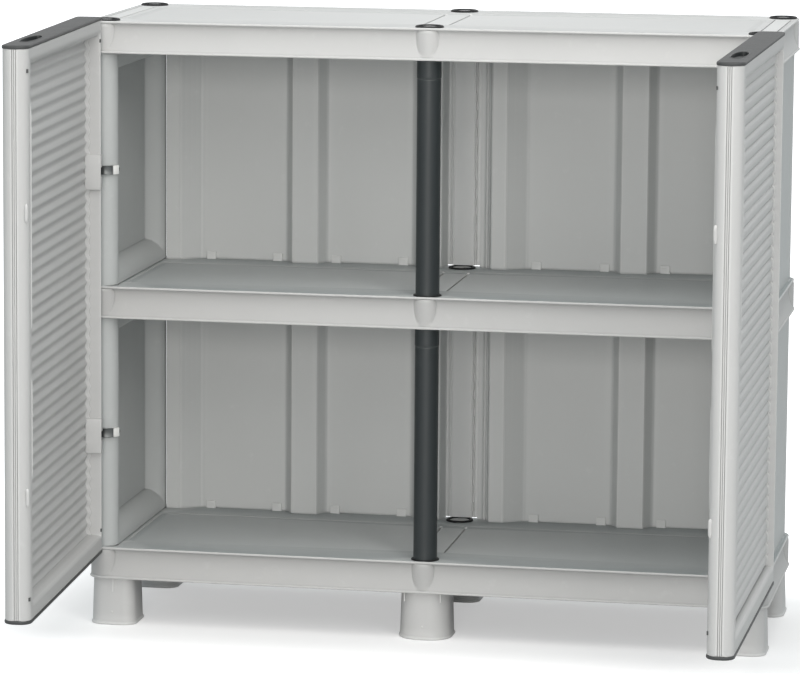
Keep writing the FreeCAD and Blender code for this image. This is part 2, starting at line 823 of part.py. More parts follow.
def build():
    shelf("base_panel", BASE_DECK)
    shelf("middle_shelf", MIDDLE_DECK)
    shelf("top_panel", TOP_DECK)
    for row, end in (("front", -1), ("rear", 1)):
        for name, side in (("left", -1), ("middle", 0), ("right", 1)):
            foot("foot_%s_%s" % (row, name), side, end)
    for tier, deck in TIERS.items():
        column(tier, deck)
        joining_strip("back_strip_" + tier, deck)
        for name, side in SIDES.items():
            side_panel("side_panel_%s_%s" % (name, tier), side, deck)
            back_panel("back_panel_%s_%s" % (name, tier), side, deck)
    clips()
    rings_and_plugs()
    column_base_rings()
    for name, side in SIDES.items():
        door_shell("door_%s_outer_shell" % name, side, -1)
        door_shell("door_%s_inner_shell" % name, side, 1)
        door_cap("door_%s_top_cap" % name, side, 1)
        door_cap("door_%s_bottom_cap" % name, side, -1)
        for tier, deck in TIERS.items():
            hinge_block("hinge_block_%s_%s" % (name, tier), side, deck)
            hinge_pin("hinge_pin_%s_%s" % (name, tier), side, deck)
            hinge_arm("hinge_arm_%s_%s" % (name, tier), side, deck)
            hinge_collar("hinge_collar_%s_%s" % (name, tier), side, deck)
    hinge_screws()


def check():
    """Stops if anything failed, if a shape is broken, or if a cut took nothing away."""
    for item in DOC.Objects:
        if "Invalid" in item.State or "Error" in item.State:
            raise RuntimeError("%s is in state %s" % (item.Label, item.State))
        if item.TypeId == "PartDesign::Pocket":
            if item.Shape.Volume >= item.BaseFeature.Shape.Volume - 0.01:
                raise RuntimeError("%s cuts nothing" % item.Label)
    for node in NODES:
        if node.Shape.isNull() or not node.Shape.isValid():
            raise RuntimeError("%s has no valid shape" % node.Label)


def write():
    os.makedirs("parts", exist_ok=True)
    for node in NODES:
        node.Shape.exportStep("parts/%s.step" % node.Label)
        solids = len(node.Shape.Solids)
        print("%-32s %2d solids %10.1f cm3" % (node.Label, solids, node.Shape.Volume / 1000))
    print(len(NODES), "nodes")


build()
DOC.recompute()
check()
write()
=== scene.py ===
"""Looks of the garden storage cabinet: moulded decks, posts, ribbed back and corrugated doors."""

import logging
import math
from dataclasses import dataclass, field
from enum import Enum

import bmesh
import bpy
import numpy as np
import numpy.typing as npt
from mathutils import Matrix, Vector
from mathutils.geometry import delaunay_2d_cdt


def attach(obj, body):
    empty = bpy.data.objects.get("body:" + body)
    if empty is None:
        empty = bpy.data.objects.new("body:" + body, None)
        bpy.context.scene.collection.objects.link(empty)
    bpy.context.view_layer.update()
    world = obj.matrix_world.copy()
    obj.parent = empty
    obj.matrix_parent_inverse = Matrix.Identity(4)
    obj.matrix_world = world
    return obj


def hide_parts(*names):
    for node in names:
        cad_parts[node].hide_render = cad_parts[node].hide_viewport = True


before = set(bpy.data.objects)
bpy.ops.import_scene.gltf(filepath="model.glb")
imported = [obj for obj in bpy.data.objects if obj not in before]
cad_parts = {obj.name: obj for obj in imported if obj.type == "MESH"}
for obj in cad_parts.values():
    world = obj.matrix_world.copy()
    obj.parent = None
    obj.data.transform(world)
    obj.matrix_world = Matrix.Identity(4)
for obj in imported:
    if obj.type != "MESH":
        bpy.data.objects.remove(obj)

Array = npt.NDArray[np.float64]
LOG = logging.getLogger("garden_cabinet")
METRES = 0.001           # every size below is in millimetres
SOCKET_X = 486.0         # middle of the outer sockets and posts
SOCKET_ROW = 302.0       # from the front row of sockets to the rear one
TOP_DECK = 908.0
OPENING = 348.0          # clear height of a tier
POST_RADIUS = 17.75
HINGE = (502.0, -44.5)   # plan of the hinge axes, for a side of +1
HINGE_RISE = 174.0       # from a tier's deck to the middle of its hinge


class Side(Enum):
    """Left and right as seen from the front; the value is the sign of X."""

    LEFT = -1
    RIGHT = 1


class Face(Enum):
    """The two halves of a door; the value is the sign of its depth, which is + towards the cabinet."""

    OUTER = -1
    INNER = 1


class End(Enum):
    """The two ends of a door; the value is the sign of Z."""

    TOP = 1
    BOTTOM = -1


class Tier(Enum):
    """The two tiers; the value is the height of the deck that each stands on."""

    LOWER = 118.0
    UPPER = 513.0

    @property
    def hinge(self) -> float:
        """Height of the middle of the tier's hinges."""
        return self.value + HINGE_RISE


class Row(Enum):
    """The two rows of sockets; the value is the row's Y."""

    FRONT = 0.0
    REAR = SOCKET_ROW


class Place(Enum):
    """The three sockets of a row; the value is the sign of X."""

    LEFT = -1
    MIDDLE = 0
    RIGHT = 1


def label(kind: str, *choices: Enum) -> str:
    """Name of a piece: its kind and the names of its choices, joined by underscores."""
    return "_".join([kind, *(choice.name.lower() for choice in choices)])


# Curves and sections

def soft_min(a: Array, b: Array, blend: float) -> Array:
    """The lesser of two values with its crease rounded over about blend.

    Args:
        a: First values.
        b: Second values.
        blend: Width over which one value passes into the other.

    Returns:
        Half the sum less half the root of the squared difference plus blend squared.
    """
    return 0.5 * (a + b - np.sqrt((a - b) ** 2 + blend**2))


def soft_max(a: Array, b: Array, blend: float) -> Array:
    """The greater of two values, rounded like soft_min.

    Args:
        a: First values.
        b: Second values.
        blend: Width over which one value passes into the other.

    Returns:
        Half the sum plus half the root of the squared difference plus blend squared.
    """
    return 0.5 * (a + b + np.sqrt((a - b) ** 2 + blend**2))


def smooth_step(t: Array) -> Array:
    """Rises from 0 at t = 0 to 1 at t = 1 with level ends: 3 t squared less 2 t cubed."""
    t = np.clip(t, 0.0, 1.0)
    return t * t * (3.0 - 2.0 * t)


def soft_ramp(x: Array, start: float, stop: float, blend: float) -> Array:
    """A straight rise from 0 to 1 with rounded ends.

    Args:
        x: Places.
        start: Where the rise begins.
        stop: Where it ends.
        blend: Radius-like width of the rounded ends.

    Returns:
        Half the difference of the rounded distances from start and stop, over the width, plus a half.
    """
    near = np.sqrt((x - start) ** 2 + blend**2)
    far = np.sqrt((x - stop) ** 2 + blend**2)
    return 0.5 * (near - far) / (stop - start) + 0.5


def stations(*spans: tuple[float, float, int]) -> Array:
    """Sorted places made of several evenly divided spans.

    Args:
        *spans: Start, stop and number of places of each span.

    Returns:
        All places in rising order, each once.
    """
    places = np.concatenate([np.linspace(start, stop, count) for start, stop, count in spans])
    return np.unique(np.round(places, 4))


def circle(radius: float, centre: tuple[float, float] = (0.0, 0.0), count: int = 64) -> Array:
    """Points (n, 2) on a circle, anticlockwise.

    Args:
        radius: Radius.
        centre: Middle.
        count: Number of points.

    Returns:
        Centre plus radius times cosine and sine of evenly spaced angles.
    """
    angle = np.linspace(0.0, 2.0 * np.pi, count, endpoint=False)
    return np.stack([centre[0] + radius * np.cos(angle), centre[1] + radius * np.sin(angle)], axis=-1)


def rounded_box(
    x0: float, y0: float, x1: float, y1: float, radii: tuple[float, ...], steps: int = 8
) -> Array:
    """A rectangle with four rounded corners, anticlockwise from the lower left.

    Args:
        x0: Least x.
        y0: Least y.
        x1: Greatest x.
        y1: Greatest y.
        radii: Radius of the lower left, lower right, upper right and upper left corner.
        steps: Points on each corner, less one.

    Returns:
        Points (n, 2): each corner is its centre plus its radius times the unit vector over a quarter turn.
    """
    corners = []
    places = ((x0, y0, 1, 1, 180), (x1, y0, -1, 1, 270), (x1, y1, -1, -1, 0), (x0, y1, 1, -1, 90))
    for (x, y, in_x, in_y, start), radius in zip(places, radii):
        angle = np.radians(start + np.linspace(0.0, 90.0, steps + 1))
        centre_x, centre_y = x + in_x * radius, y + in_y * radius
        arc = np.stack([centre_x + radius * np.cos(angle), centre_y + radius * np.sin(angle)], -1)
        corners.append(arc)
    return np.concatenate(corners)


def inset(outline: Array, amount: float | Array) -> Array:
    """Moves a closed outline inwards along its own normals.

    Args:
        outline: Points (n, 2), anticlockwise.
        amount: Distance inwards, one for all or one for each point.

    Returns:
        Each point less its outward normal, which is the neighbour direction turned a quarter clockwise.
    """
    along = np.roll(outline, -1, axis=0) - np.roll(outline, 1, axis=0)
    along /= np.maximum(np.linalg.norm(along, axis=1, keepdims=True), 1e-9)
    outward = np.stack([along[:, 1], -along[:, 0]], axis=-1)
    return outline - outward * np.reshape(amount, (-1, 1))


def crossed(places: Array, loop: Array) -> Array:
    """How often a ray to the right from each place crosses a closed loop.

    Args:
        places: Points (m, 2).
        loop: Closed loop (n, 2).

    Returns:
        Counts (m,): an edge is crossed when its ends lie on both sides of the ray's height and it lies
        further right there than the place.
    """
    start, stop = loop[None], np.roll(loop, -1, axis=0)[None]
    x, y = places[:, None, 0], places[:, None, 1]
    straddles = (start[..., 1] > y) != (stop[..., 1] > y)
    rise = np.where(np.abs(stop[..., 1] - start[..., 1]) < 1e-12, 1.0, stop[..., 1] - start[..., 1])
    meets = start[..., 0] + (y - start[..., 1]) / rise * (stop[..., 0] - start[..., 0])
    return (straddles & (meets > x)).sum(axis=1)


def level(outline: Array, z: float | Array) -> Array:
    """Stands a plan outline (n, 2) at a height, as points (n, 3)."""
    return np.concatenate([outline, np.broadcast_to(np.reshape(z, (-1, 1)), (len(outline), 1))], axis=1)


def contour(plan: Array, rows: list[tuple[float, float]], base: float = 0.0, way: int = 1) -> Array:
    """Loops that follow a plan outline at several insets and heights.

    Args:
        plan: Closed outline (n, 2), anticlockwise.
        rows: Inset and height of each loop.
        base: Height that the rows count from.
        way: 1 upwards, -1 downwards.

    Returns:
        Loops (rows, n, 3).
    """
    return np.stack([level(inset(plan, amount), base + way * z) for amount, z in rows])


@dataclass
class Skin:
    """Gathers the surfaces of one piece in millimetres and makes its mesh."""

    points: list[Array] = field(default_factory=list)
    quads: list[Array] = field(default_factory=list)
    triangles: list[Array] = field(default_factory=list)
    count: int = 0

    def add(self, points: Array) -> int:
        """Stores points.

        Args:
            points: Points (n, 3).

        Returns:
            Index of the first of them.
        """
        first = self.count
        self.points.append(points)
        self.count += len(points)
        return first

    def grid(self, points: Array, around: bool = False) -> None:
        """Joins the neighbouring points of a grid into four-sided faces.

        Args:
            points: Grid (rows, columns, 3).
            around: Whether the last column joins the first.
        """
        rows, columns = points.shape[:2]
        first = self.add(points.reshape(-1, 3))
        index = first + np.arange(rows * columns).reshape(rows, columns)
        if around:
            index = np.concatenate([index, index[:, :1]], axis=1)
        corners = [index[:-1, :-1], index[:-1, 1:], index[1:, 1:], index[1:, :-1]]
        self.quads.append(np.stack(corners, axis=-1).reshape(-1, 4))

    def lid(self, *loops: Array, normal: int = 2) -> None:
        """Fills the flat area inside the first loop and outside the others.

        Args:
            *loops: Closed loops (n, 3) in one plane.
            normal: Axis that the plane is square to.
        """
        keep = [axis for axis in range(3) if axis != normal]
        flat = np.concatenate(loops)
        ends = np.cumsum([len(loop) for loop in loops])
        edges = []
        for start, stop in zip(np.concatenate([[0], ends[:-1]]), ends):
            index = np.arange(start, stop)
            edges.append(np.stack([index, np.roll(index, -1)], axis=-1))
        made = delaunay_2d_cdt(flat[:, keep].tolist(), np.concatenate(edges).tolist(), [], 1, 1e-5)
        if not made[2]:
            return
        spots = np.array(made[0])
        faces = np.array(made[2])
        middles = spots[faces].mean(axis=1)
        crossings = sum(crossed(middles, loop[:, keep]) for loop in loops)
        placed = np.full((len(spots), 3), flat[0, normal])
        placed[:, keep] = spots
        first = self.add(placed)
        self.triangles.append(faces[crossings % 2 == 1] + first)

    def stack(self, loops: Array, closed: bool = True) -> None:
        """Joins equal loops, one above the other, and fills the first and the last.

        Args:
            loops: Loops (rows, n, 3).
            closed: Whether the ends are filled.
        """
        self.grid(loops, around=True)
        if closed:
            self.lid(loops[0])
            self.lid(loops[-1])

    def prism(self, plan: Array, *heights: float) -> None:
        """Stands a plan outline (n, 2) up through the heights and fills both ends."""
        self.stack(np.stack([level(plan, z) for z in heights]))

    def lathe(
        self,
        points: list[tuple[float, float]],
        centre: tuple[float, float, float] = (0.0, 0.0, 0.0),
        count: int = 64,
        ring: bool = False,
    ) -> None:
        """Turns a profile about an upright axis.

        Args:
            points: The profile as radius and height above the centre.
            centre: Foot of the axis.
            count: Points around.
            ring: Whether the profile closes on itself instead of being filled at both ends.
        """
        profile = np.array(points + points[:1] if ring else points)
        unit = circle(1.0, count=count)
        turned = profile[:, None, :1] * unit[None, :, :] + np.array(centre[:2])
        height = np.broadcast_to(profile[:, None, 1:] + centre[2], turned.shape[:2] + (1,))
        self.stack(np.concatenate([turned, height], axis=-1), closed=not ring)

    def join(self, other: "Skin") -> None:
        """Takes over everything that another skin holds.

        Args:
            other: The other skin.
        """
        offset = self.count
        for points in other.points:
            self.add(points)
        self.quads += [quads + offset for quads in other.quads]
        self.triangles += [faces + offset for faces in other.triangles]

    def turned(self, origin: Array, axes: Array) -> "Skin":
        """Places everything gathered so far: a point becomes the origin plus its parts along the axes."""
        self.points = [origin + points @ axes for points in self.points]
        return self

    def make(self, name: str, finish: bpy.types.Material, sharp: float) -> bpy.types.Object:
        """Makes the mesh object in metres, joined at its seams, with faces outwards and smooth shading.

        Args:
            name: Name of the piece.
            finish: Its material.
            sharp: Angle in degrees above which an edge stays crisp.

        Returns:
            The new object, standing at the origin.
        """
        mesh = bpy.data.meshes.new(name)
        faces = [part for group in (self.quads, self.triangles) for part in group if len(part)]
        listed = [row for part in faces for row in part.tolist()]
        mesh.from_pydata((np.concatenate(self.points) * METRES).tolist(), [], listed)
        work = bmesh.new()
        work.from_mesh(mesh)
        bmesh.ops.remove_doubles(work, verts=work.verts, dist=2e-6)
        bmesh.ops.dissolve_degenerate(work, edges=work.edges, dist=1e-7)
        bmesh.ops.recalc_face_normals(work, faces=work.faces)
        work.to_mesh(mesh)
        work.free()
        mesh.shade_smooth()
        mesh.set_sharp_from_angle(angle=math.radians(sharp))
        mesh.materials.append(finish)
        piece = bpy.data.objects.new(name, mesh)
        bpy.context.collection.objects.link(piece)
        return piece


def settle(
    skin: Skin,
    name: str,
    finish: bpy.types.Material,
    slot: str,
    body: str = "cabinet",
    sharp: float = 32.0,
) -> None:
    """Makes a piece, rides it on its body, logs its finish slot and lets it stand for its solid.

    Args:
        skin: Its surface.
        name: Name of the piece and of the solid that it stands for.
        finish: Its material.
        slot: Material slot of the record.
        body: Body that carries it.
        sharp: Angle in degrees above which an edge stays crisp.
    """
    piece = skin.make(name, finish, sharp)
    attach(piece, body)
    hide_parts(name)
    LOG.info("%s: %d faces on %s, %s", name, len(piece.data.polygons), body, slot)


# Shader maths and finishes

class Wire:
    """A value socket that takes part in ordinary arithmetic by adding Math nodes."""

    def __init__(self, graph: "Graph", socket: bpy.types.NodeSocket) -> None:
        """Keeps the graph and the socket."""
        self.graph = graph
        self.socket = socket

    def _math(self, operation: str, first: "Wire | float", second: "Wire | float") -> "Wire":
        """Adds one Math node of two values."""
        made = self.graph.node("ShaderNodeMath", {"operation": operation}, {0: first, 1: second})
        return Wire(self.graph, made.outputs[0])

    def __add__(self, other: "Wire | float") -> "Wire":
        """Sum."""
        return self._math("ADD", self, other)

    __radd__ = __add__

    def __mul__(self, other: "Wire | float") -> "Wire":
        """Product."""
        return self._math("MULTIPLY", self, other)

    __rmul__ = __mul__

    def __sub__(self, other: "Wire | float") -> "Wire":
        """Difference."""
        return self._math("SUBTRACT", self, other)

    def __rsub__(self, other: float) -> "Wire":
        """Difference from a number."""
        return self._math("SUBTRACT", other, self)


class Graph:
    """A node tree whose nodes all come from one method."""

    def __init__(self, owner: bpy.types.Material | bpy.types.World) -> None:
        """Starts an empty tree.

        Args:
            owner: The material or world that the tree belongs to.
        """
        owner.use_nodes = True
        self.tree = owner.node_tree
        self.tree.nodes.clear()

    def node(self, kind: str, settings: dict | None = None, inputs: dict | None = None) -> bpy.types.Node:
        """Adds a node.

        Args:
            kind: Node type.
            settings: Properties, set first; a ramp's stops are given as pairs of place and grey or colour.
            inputs: Values, sockets or wires by input name or number.

        Returns:
            The new node.
        """
        made = self.tree.nodes.new(kind)
        for key, value in (settings or {}).items():
            if key == "stops":
                for stop, (place, shade) in zip(self._stops(made, len(value)), value):
                    stop.position = place
                    stop.color = (shade, shade, shade, 1.0)
            else:
                setattr(made, key, value)
        for key, value in (inputs or {}).items():
            self.feed(made.inputs[key], value)
        return made

    def _stops(self, ramp: bpy.types.Node, count: int) -> list:
        """Gives a colour ramp the number of stops that is asked for.

        Args:
            ramp: The ramp's node.
            count: Number of stops.

        Returns:
            The stops.
        """
        while len(ramp.color_ramp.elements) < count:
            ramp.color_ramp.elements.new(0.5)
        return list(ramp.color_ramp.elements)

    def feed(self, socket: bpy.types.NodeSocket, value: object) -> None:
        """Links a wire or socket to an input, or sets the input's own value.

        Args:
            socket: The input.
            value: A wire, a socket, a number or a colour.
        """
        if isinstance(value, Wire):
            value = value.socket
        if isinstance(value, bpy.types.NodeSocket):
            self.tree.links.new(value, socket)
        else:
            socket.default_value = value

    def mix(self, factor: object, first: object, second: object) -> bpy.types.NodeSocket:
        """Mixes two colours by a factor."""
        inputs = {0: factor, 6: first, 7: second}
        return self.node("ShaderNodeMix", {"data_type": "RGBA"}, inputs).outputs[2]


class Coat(Graph):
    """The tree of one material, with its shader and its object coordinates."""

    def __init__(self, name: str) -> None:
        """Starts the material with a shader joined to the output.

        Args:
            name: Name of the material.
        """
        self.material = bpy.data.materials.new(name)
        super().__init__(self.material)
        self.shader = self.node("ShaderNodeBsdfPrincipled")
        self.node("ShaderNodeOutputMaterial", inputs={"Surface": self.shader.outputs[0]})
        self.place = self.node("ShaderNodeTexCoord").outputs["Object"]

    def noise(self, scale: float, detail: float, rough: float = 0.5, where: object = None) -> Wire:
        """Cloudy noise about 0.5.

        Args:
            scale: Features per metre, roughly.
            detail: Finer layers.
            rough: Strength of the finer layers.
            where: Coordinates, or None for the object's own.

        Returns:
            The noise value.
        """
        inputs = {"Vector": where or self.place, "Scale": scale, "Detail": detail, "Roughness": rough}
        return Wire(self, self.node("ShaderNodeTexNoise", inputs=inputs).outputs[0])

    def bump(
        self, height: Wire, strength: float, distance: float, under: object = None
    ) -> bpy.types.NodeSocket:
        """A bumped normal.

        Args:
            height: Height from 0 to 1.
            strength: Share of the bump.
            distance: Depth in metres.
            under: Normal that it is added to, if any.

        Returns:
            The normal.
        """
        inputs = {"Height": height, "Strength": strength, "Distance": distance}
        if under is not None:
            inputs["Normal"] = under
        return self.node("ShaderNodeBump", inputs=inputs).outputs[0]


@dataclass(frozen=True)
class Moulded:
    """Moulded plastic: fine spark-eroded grain, faint flow clouds, scuffed edges that wear paler and carry a
    painted highlight, and painted shade in creases.
    """

    name: str
    colour: tuple[float, float, float]
    dust_and_highlight: tuple[float, float, float]
    roughness: float = 0.5
    grain: float = 0.00012
    grain_scale: float = 1400.0
    cloud: float = 0.05
    specular: float = 0.45
    deck_shade: float = 1.0

    def make(self) -> bpy.types.Material:
        """Builds the material.

        Returns:
            A plastic whose colour drifts a little with slow noise, is paler on convex edges from wear and a
            painted highlight, darker in crevices from painted shade and, where asked, darker and cooler on
            level upper faces from painted shade. It has a fine grain over a slight waviness.
        """
        graph = Coat(self.name)
        shader = graph.shader
        clouds = graph.noise(5.0, 4.0, 0.6)
        specks = graph.noise(260.0, 3.0, 0.7)
        streaks = graph.noise(38.0, 5.0, 0.65)
        edge_wear_and_light = Wire(graph, graph.node("ShaderNodeNewGeometry").outputs["Pointiness"])
        # Convex edges by pointiness: wear, and a painted highlight along rounded creases.
        worn_and_highlit = graph.node("ShaderNodeValToRGB", {"stops": ((0.515, 0.0), (0.56, 1.0))}, {0: edge_wear_and_light})
        scuff = graph.node("ShaderNodeValToRGB", {"stops": ((0.62, 0.0), (0.72, 1.0))}, {0: streaks})
        light = tuple(min(1.0, part * (1.0 + self.cloud)) for part in self.colour)
        deep = tuple(part * (1.0 - self.cloud) for part in self.colour)
        mottled = graph.mix(clouds * 0.7 + specks * 0.3, (*deep, 1.0), (*light, 1.0))
        # Concave creases by pointiness go toward a dark colour: painted shade.
        sunk = graph.node("ShaderNodeValToRGB", {"stops": ((0.43, 1.0), (0.485, 0.0))}, {0: edge_wear_and_light})
        crease_shade_colour = tuple(part * 0.35 for part in self.colour)
        # Level upper faces go darker and cooler: painted shade from the deck above.
        if self.deck_shade < 1.0:
            facing = graph.node("ShaderNodeNewGeometry").outputs["Normal"]
            upward = graph.node("ShaderNodeSeparateXYZ", inputs={0: facing}).outputs["Z"]
            flat = graph.node("ShaderNodeValToRGB", {"stops": ((0.9, 0.0), (0.98, 1.0))}, {0: upward})
            cooler = zip(self.colour, (0.93, 1.0, 1.02))
            shaded_deck = tuple(part * self.deck_shade * cool for part, cool in cooler)
            mottled = graph.mix(flat.outputs[0], mottled, (*shaded_deck, 1.0))
        # Edges and scuffs take the paler second colour: wear, plus a painted highlight on the edges.
        mark = Wire(graph, worn_and_highlit.outputs[0]) * 0.45 + Wire(graph, scuff.outputs[0]) * 0.08
        edge_marked = graph.mix(mark, mottled, (*self.dust_and_highlight, 1.0))
        crease_shaded = graph.mix(Wire(graph, sunk.outputs[0]) * 0.5, edge_marked, (*crease_shade_colour, 1.0))
        graph.feed(shader.inputs["Base Color"], crease_shaded)
        gloss = specks * 0.10 + streaks * 0.12 + (self.roughness - 0.11)
        graph.feed(shader.inputs["Roughness"], gloss)
        shader.inputs["Specular IOR Level"].default_value = self.specular
        wavy = graph.bump(graph.noise(14.0, 2.0, 0.4), 0.35, 0.0006)
        grained = graph.bump(graph.noise(self.grain_scale, 2.0, 0.6), 0.55, self.grain, wavy)
        graph.feed(shader.inputs["Normal"], grained)
        return graph.material


@dataclass(frozen=True)
class Plated:
    """Plain zinc-plated steel with a short brushed grain and a dull, clouded sheen."""

    name: str
    colour: tuple[float, float, float]
    roughness: float = 0.34

    def make(self) -> bpy.types.Material:
        """Builds the material.

        Returns:
            A metal whose colour and roughness follow a stretched noise, with a fine bump along it.
        """
        graph = Coat(self.name)
        stretch = graph.node("ShaderNodeMapping", inputs={"Vector": graph.place, "Scale": (1.0, 1.0, 0.08)})
        brushed = graph.noise(900.0, 3.0, 0.6, stretch.outputs[0])
        clouds = graph.noise(120.0, 4.0, 0.6)
        dull = tuple(part * 0.72 for part in self.colour)
        clouded = graph.mix(clouds, (*dull, 1.0), (*self.colour, 1.0))
        graph.feed(graph.shader.inputs["Base Color"], clouded)
        gloss = brushed * 0.25 + clouds * 0.1 + (self.roughness - 0.17)
        graph.feed(graph.shader.inputs["Roughness"], gloss)
        graph.shader.inputs["Metallic"].default_value = 1.0
        graph.feed(graph.shader.inputs["Normal"], graph.bump(brushed, 0.3, 0.00008))
        return graph.material


class Finishes:
    """The finishes of the cabinet, each made once."""

    def __init__(self) -> None:
        """Makes every material."""
        # The second colour of each plastic goes on convex edges and scuffs: wear with a painted highlight.
        pale = (0.80, 0.80, 0.79)
        grey = (0.53, 0.53, 0.525)
        self.shelf = Moulded("shelf_plastic", (0.535, 0.535, 0.53), pale).make()
        self.panel = Moulded("panel_plastic", (0.492, 0.508, 0.505), pale).make()
        # A lighter copy of the panel plastic for the back strip: painted light, for the extra light on the
        # strip that stands forward.
        self.strip = Moulded("strip_plastic", (0.565, 0.575, 0.572), pale).make()
        self.door = Moulded("door_plastic", grey, pale, roughness=0.52).make()
        self.block = Moulded("block_plastic", grey, (0.58, 0.58, 0.575), roughness=0.52).make()
        # A darker copy of the shelf plastic for the two lower decks: painted shade, with its level faces
        # painted darker and cooler still.
        self.shaded_shelf = Moulded("tray_plastic", (0.465, 0.465, 0.46), pale, deck_shade=0.84).make()
        self.foot = Moulded("foot_plastic", (0.56, 0.56, 0.555), pale).make()
        edge_wear_and_light, black = (0.13, 0.13, 0.13), (0.010, 0.011, 0.012)
        self.dark = Moulded("dark_plastic", (0.026, 0.030, 0.031), edge_wear_and_light, cloud=0.3, specular=0.4).make()
        self.ring = Moulded("ring_plastic", black, (0.03, 0.03, 0.03), cloud=0.1, specular=0.2).make()
        green_grey, column_dust_and_sheen = (0.026, 0.032, 0.034), (0.10, 0.11, 0.11)
        self.column = Moulded("column_plastic", green_grey, column_dust_and_sheen, 0.45, cloud=0.12).make()
        white, edge_marked = (0.80, 0.80, 0.78), (0.88, 0.88, 0.87)
        self.white = Moulded("white_plastic", white, edge_marked, 0.42, cloud=0.03).make()
        self.steel = Plated("steel", (0.17, 0.18, 0.18), 0.42).make()


# Pieces of the cabinet

@dataclass
class ShelfPanel:
    """A moulded deck with a scooped skirt, six socket bosses that swell through it, and a shallow field."""

    name: str
    deck: float
    finish: bpy.types.Material
    half_width: float = 510.0
    boss: float = 24.0                                                       # radius of a socket boss
    socket_x: float = SOCKET_X
    row: float = SOCKET_ROW
    bore: float = 18.05
    mouth_depth: float = 3.2                                                 # shown depth of a socket
    scoop: float = 6.5
    scoop_bow: float = 2.3
    wall: float = 9.5
    field_x: float = 466.0
    field_y: tuple[float, float] = (36.0, 262.0)
    field_depth: float = 0.9
    field_round: float = 14.0
    grooves: tuple[tuple[float, float], ...] = ((477.0, 1.1), (500.5, 1.2))  # middle and half width
    groove_depth: float = 2.4
    slot: tuple[float, float, float] = (19.0, 58.0, 244.0)                   # x, front and rear end
    slot_half: float = 1.5
    slot_depth: float = 2.8

    def outline(self) -> tuple[Array, Array, Array]:
        """The plan outline, walked anticlockwise, dense beside the bosses.

        Returns:
            Points (n, 2), outward normals (n, 2) and the distance along the edge from the nearest boss (n,).
        """
        near = self.boss
        far = self.socket_x
        bosses = ((-far, -far + near, 22), (far - near, far, 22), (-near, near, 43))
        long_side = stations(*bosses, (-far + near, -near, 14), (near, far - near, 14))
        short_side = stations((0.0, near, 22), (near, self.row - near, 10), (self.row - near, self.row, 22))
        to_boss = np.abs(long_side[:, None] - np.array([-self.socket_x, 0.0, self.socket_x])).min(axis=1)
        to_end = np.minimum(short_side, self.row - short_side)
        blank = np.zeros(13)
        parts = []
        middle = np.array([0.0, self.row / 2])
        for direction in ((0, -1), (1, 0), (0, 1), (-1, 0)):
            out = np.array(direction, float)
            ahead = np.array([-out[1], out[0]])
            along, gap = (long_side, to_boss) if direction[0] == 0 else (short_side, to_end)
            if direction[0] == 0:
                edge = middle + out * (self.row / 2 + self.boss) + along[:, None] * ahead
            else:
                edge = middle + out * self.half_width + (along[:, None] - self.row / 2) * ahead
            parts.append((edge, np.broadcast_to(out, edge.shape), gap))
            angle = np.arctan2(out[1], out[0]) + np.linspace(0.0, np.pi / 2, 15)[1:-1]
            around = np.stack([np.cos(angle), np.sin(angle)], axis=-1)
            corner = middle + np.sign(around[6]) * np.array([self.socket_x, self.row / 2])
            parts.append((corner + self.boss * around, around, blank))
        return tuple(np.concatenate(part) for part in zip(*parts))

    def edge_rows(self) -> Array:
        """The section of the rim, from the deck over the bead, down the scoop and lip, and up the inside.

        Returns:
            Rows (n, 3) of inset, scoop depth and height: the scoop falls steeply under the bead to its full
            depth and runs out straight with a slight bow by the time it meets the lower lip.
        """
        bead = [(5.4, 0, 0), (4.6, 0, 0), (3.8, 0, 0.1), (2.8, 0, 0.55), (1.7, 0, 0.8), (0.7, 0, 0.6),
                (0.15, 0, 0), (0, 0, -0.8), (0.05, 0, -1.8), (0.5, 0, -2.3), (1.5, 0, -2.5), (1.6, 0, -2.9)]
        under = [(1.3, 1.6, -3.1), (0.9, 3.2, -3.7), (0.5, 4.6, -4.6), (0.1, 5.8, -6.0), (0, 6.4, -7.6)]
        fall = np.linspace(0.0, 1.0, 17)[1:]
        depth = self.scoop * (1.0 - fall) + self.scoop_bow * 4.0 * fall * (1.0 - fall)
        slope = np.stack([0.0 * fall, depth, -7.6 - fall * 35.6], axis=-1)
        lip = [(-0.5, 0, -43.5), (-1.2, 0, -43.9), (-1.6, 0, -44.6), (-1.7, 0, -45.6), (-1.4, 0, -46.5),
               (-0.6, 0, -47), (0.8, 0, -47), (self.wall - 1, 0, -47), (self.wall, 0, -46.6),
               (self.wall, 0, -45), (self.wall, 0, -5), (self.wall + 1, 0, -4)]
        return np.concatenate([np.array(bead, float), np.array(under, float), slope, np.array(lip, float)])

    def skirt(self, skin: Skin) -> tuple[Array, Array]:
        """Adds the rim all round.

        Args:
            skin: Where the surface goes.

        Returns:
            The innermost loop of the deck side and of the underside. The inset at a point is the row's own
            inset plus the lesser of the scoop and the boss, whose depth is its radius less the half chord,
            with a fine crease where the two meet.
        """
        points, outward, gap = self.outline()
        swell = self.boss - np.sqrt(np.maximum(self.boss**2 - np.minimum(gap, self.boss) ** 2, 0.0))
        rows = self.edge_rows()
        scooped = rows[:, 1][:, None]
        depth = np.where(scooped > 0, soft_min(scooped, swell[None, :], 0.3), 0.0)
        meeting = (scooped > 2.0) * (swell > 1.0)[None, :]
        crease = 0.5 * np.exp(-(((scooped - swell[None, :]) / 0.9) ** 2)) * meeting
        total = rows[:, 0][:, None] + np.maximum(depth, 0.0) + crease
        plan = points[None] - outward[None] * total[..., None]
        height = np.broadcast_to((rows[:, 2] + self.deck)[:, None, None], plan.shape[:2] + (1,))
        loops = np.concatenate([plan, height], axis=-1)
        skin.grid(loops, around=True)
        return loops[0], loops[-1]

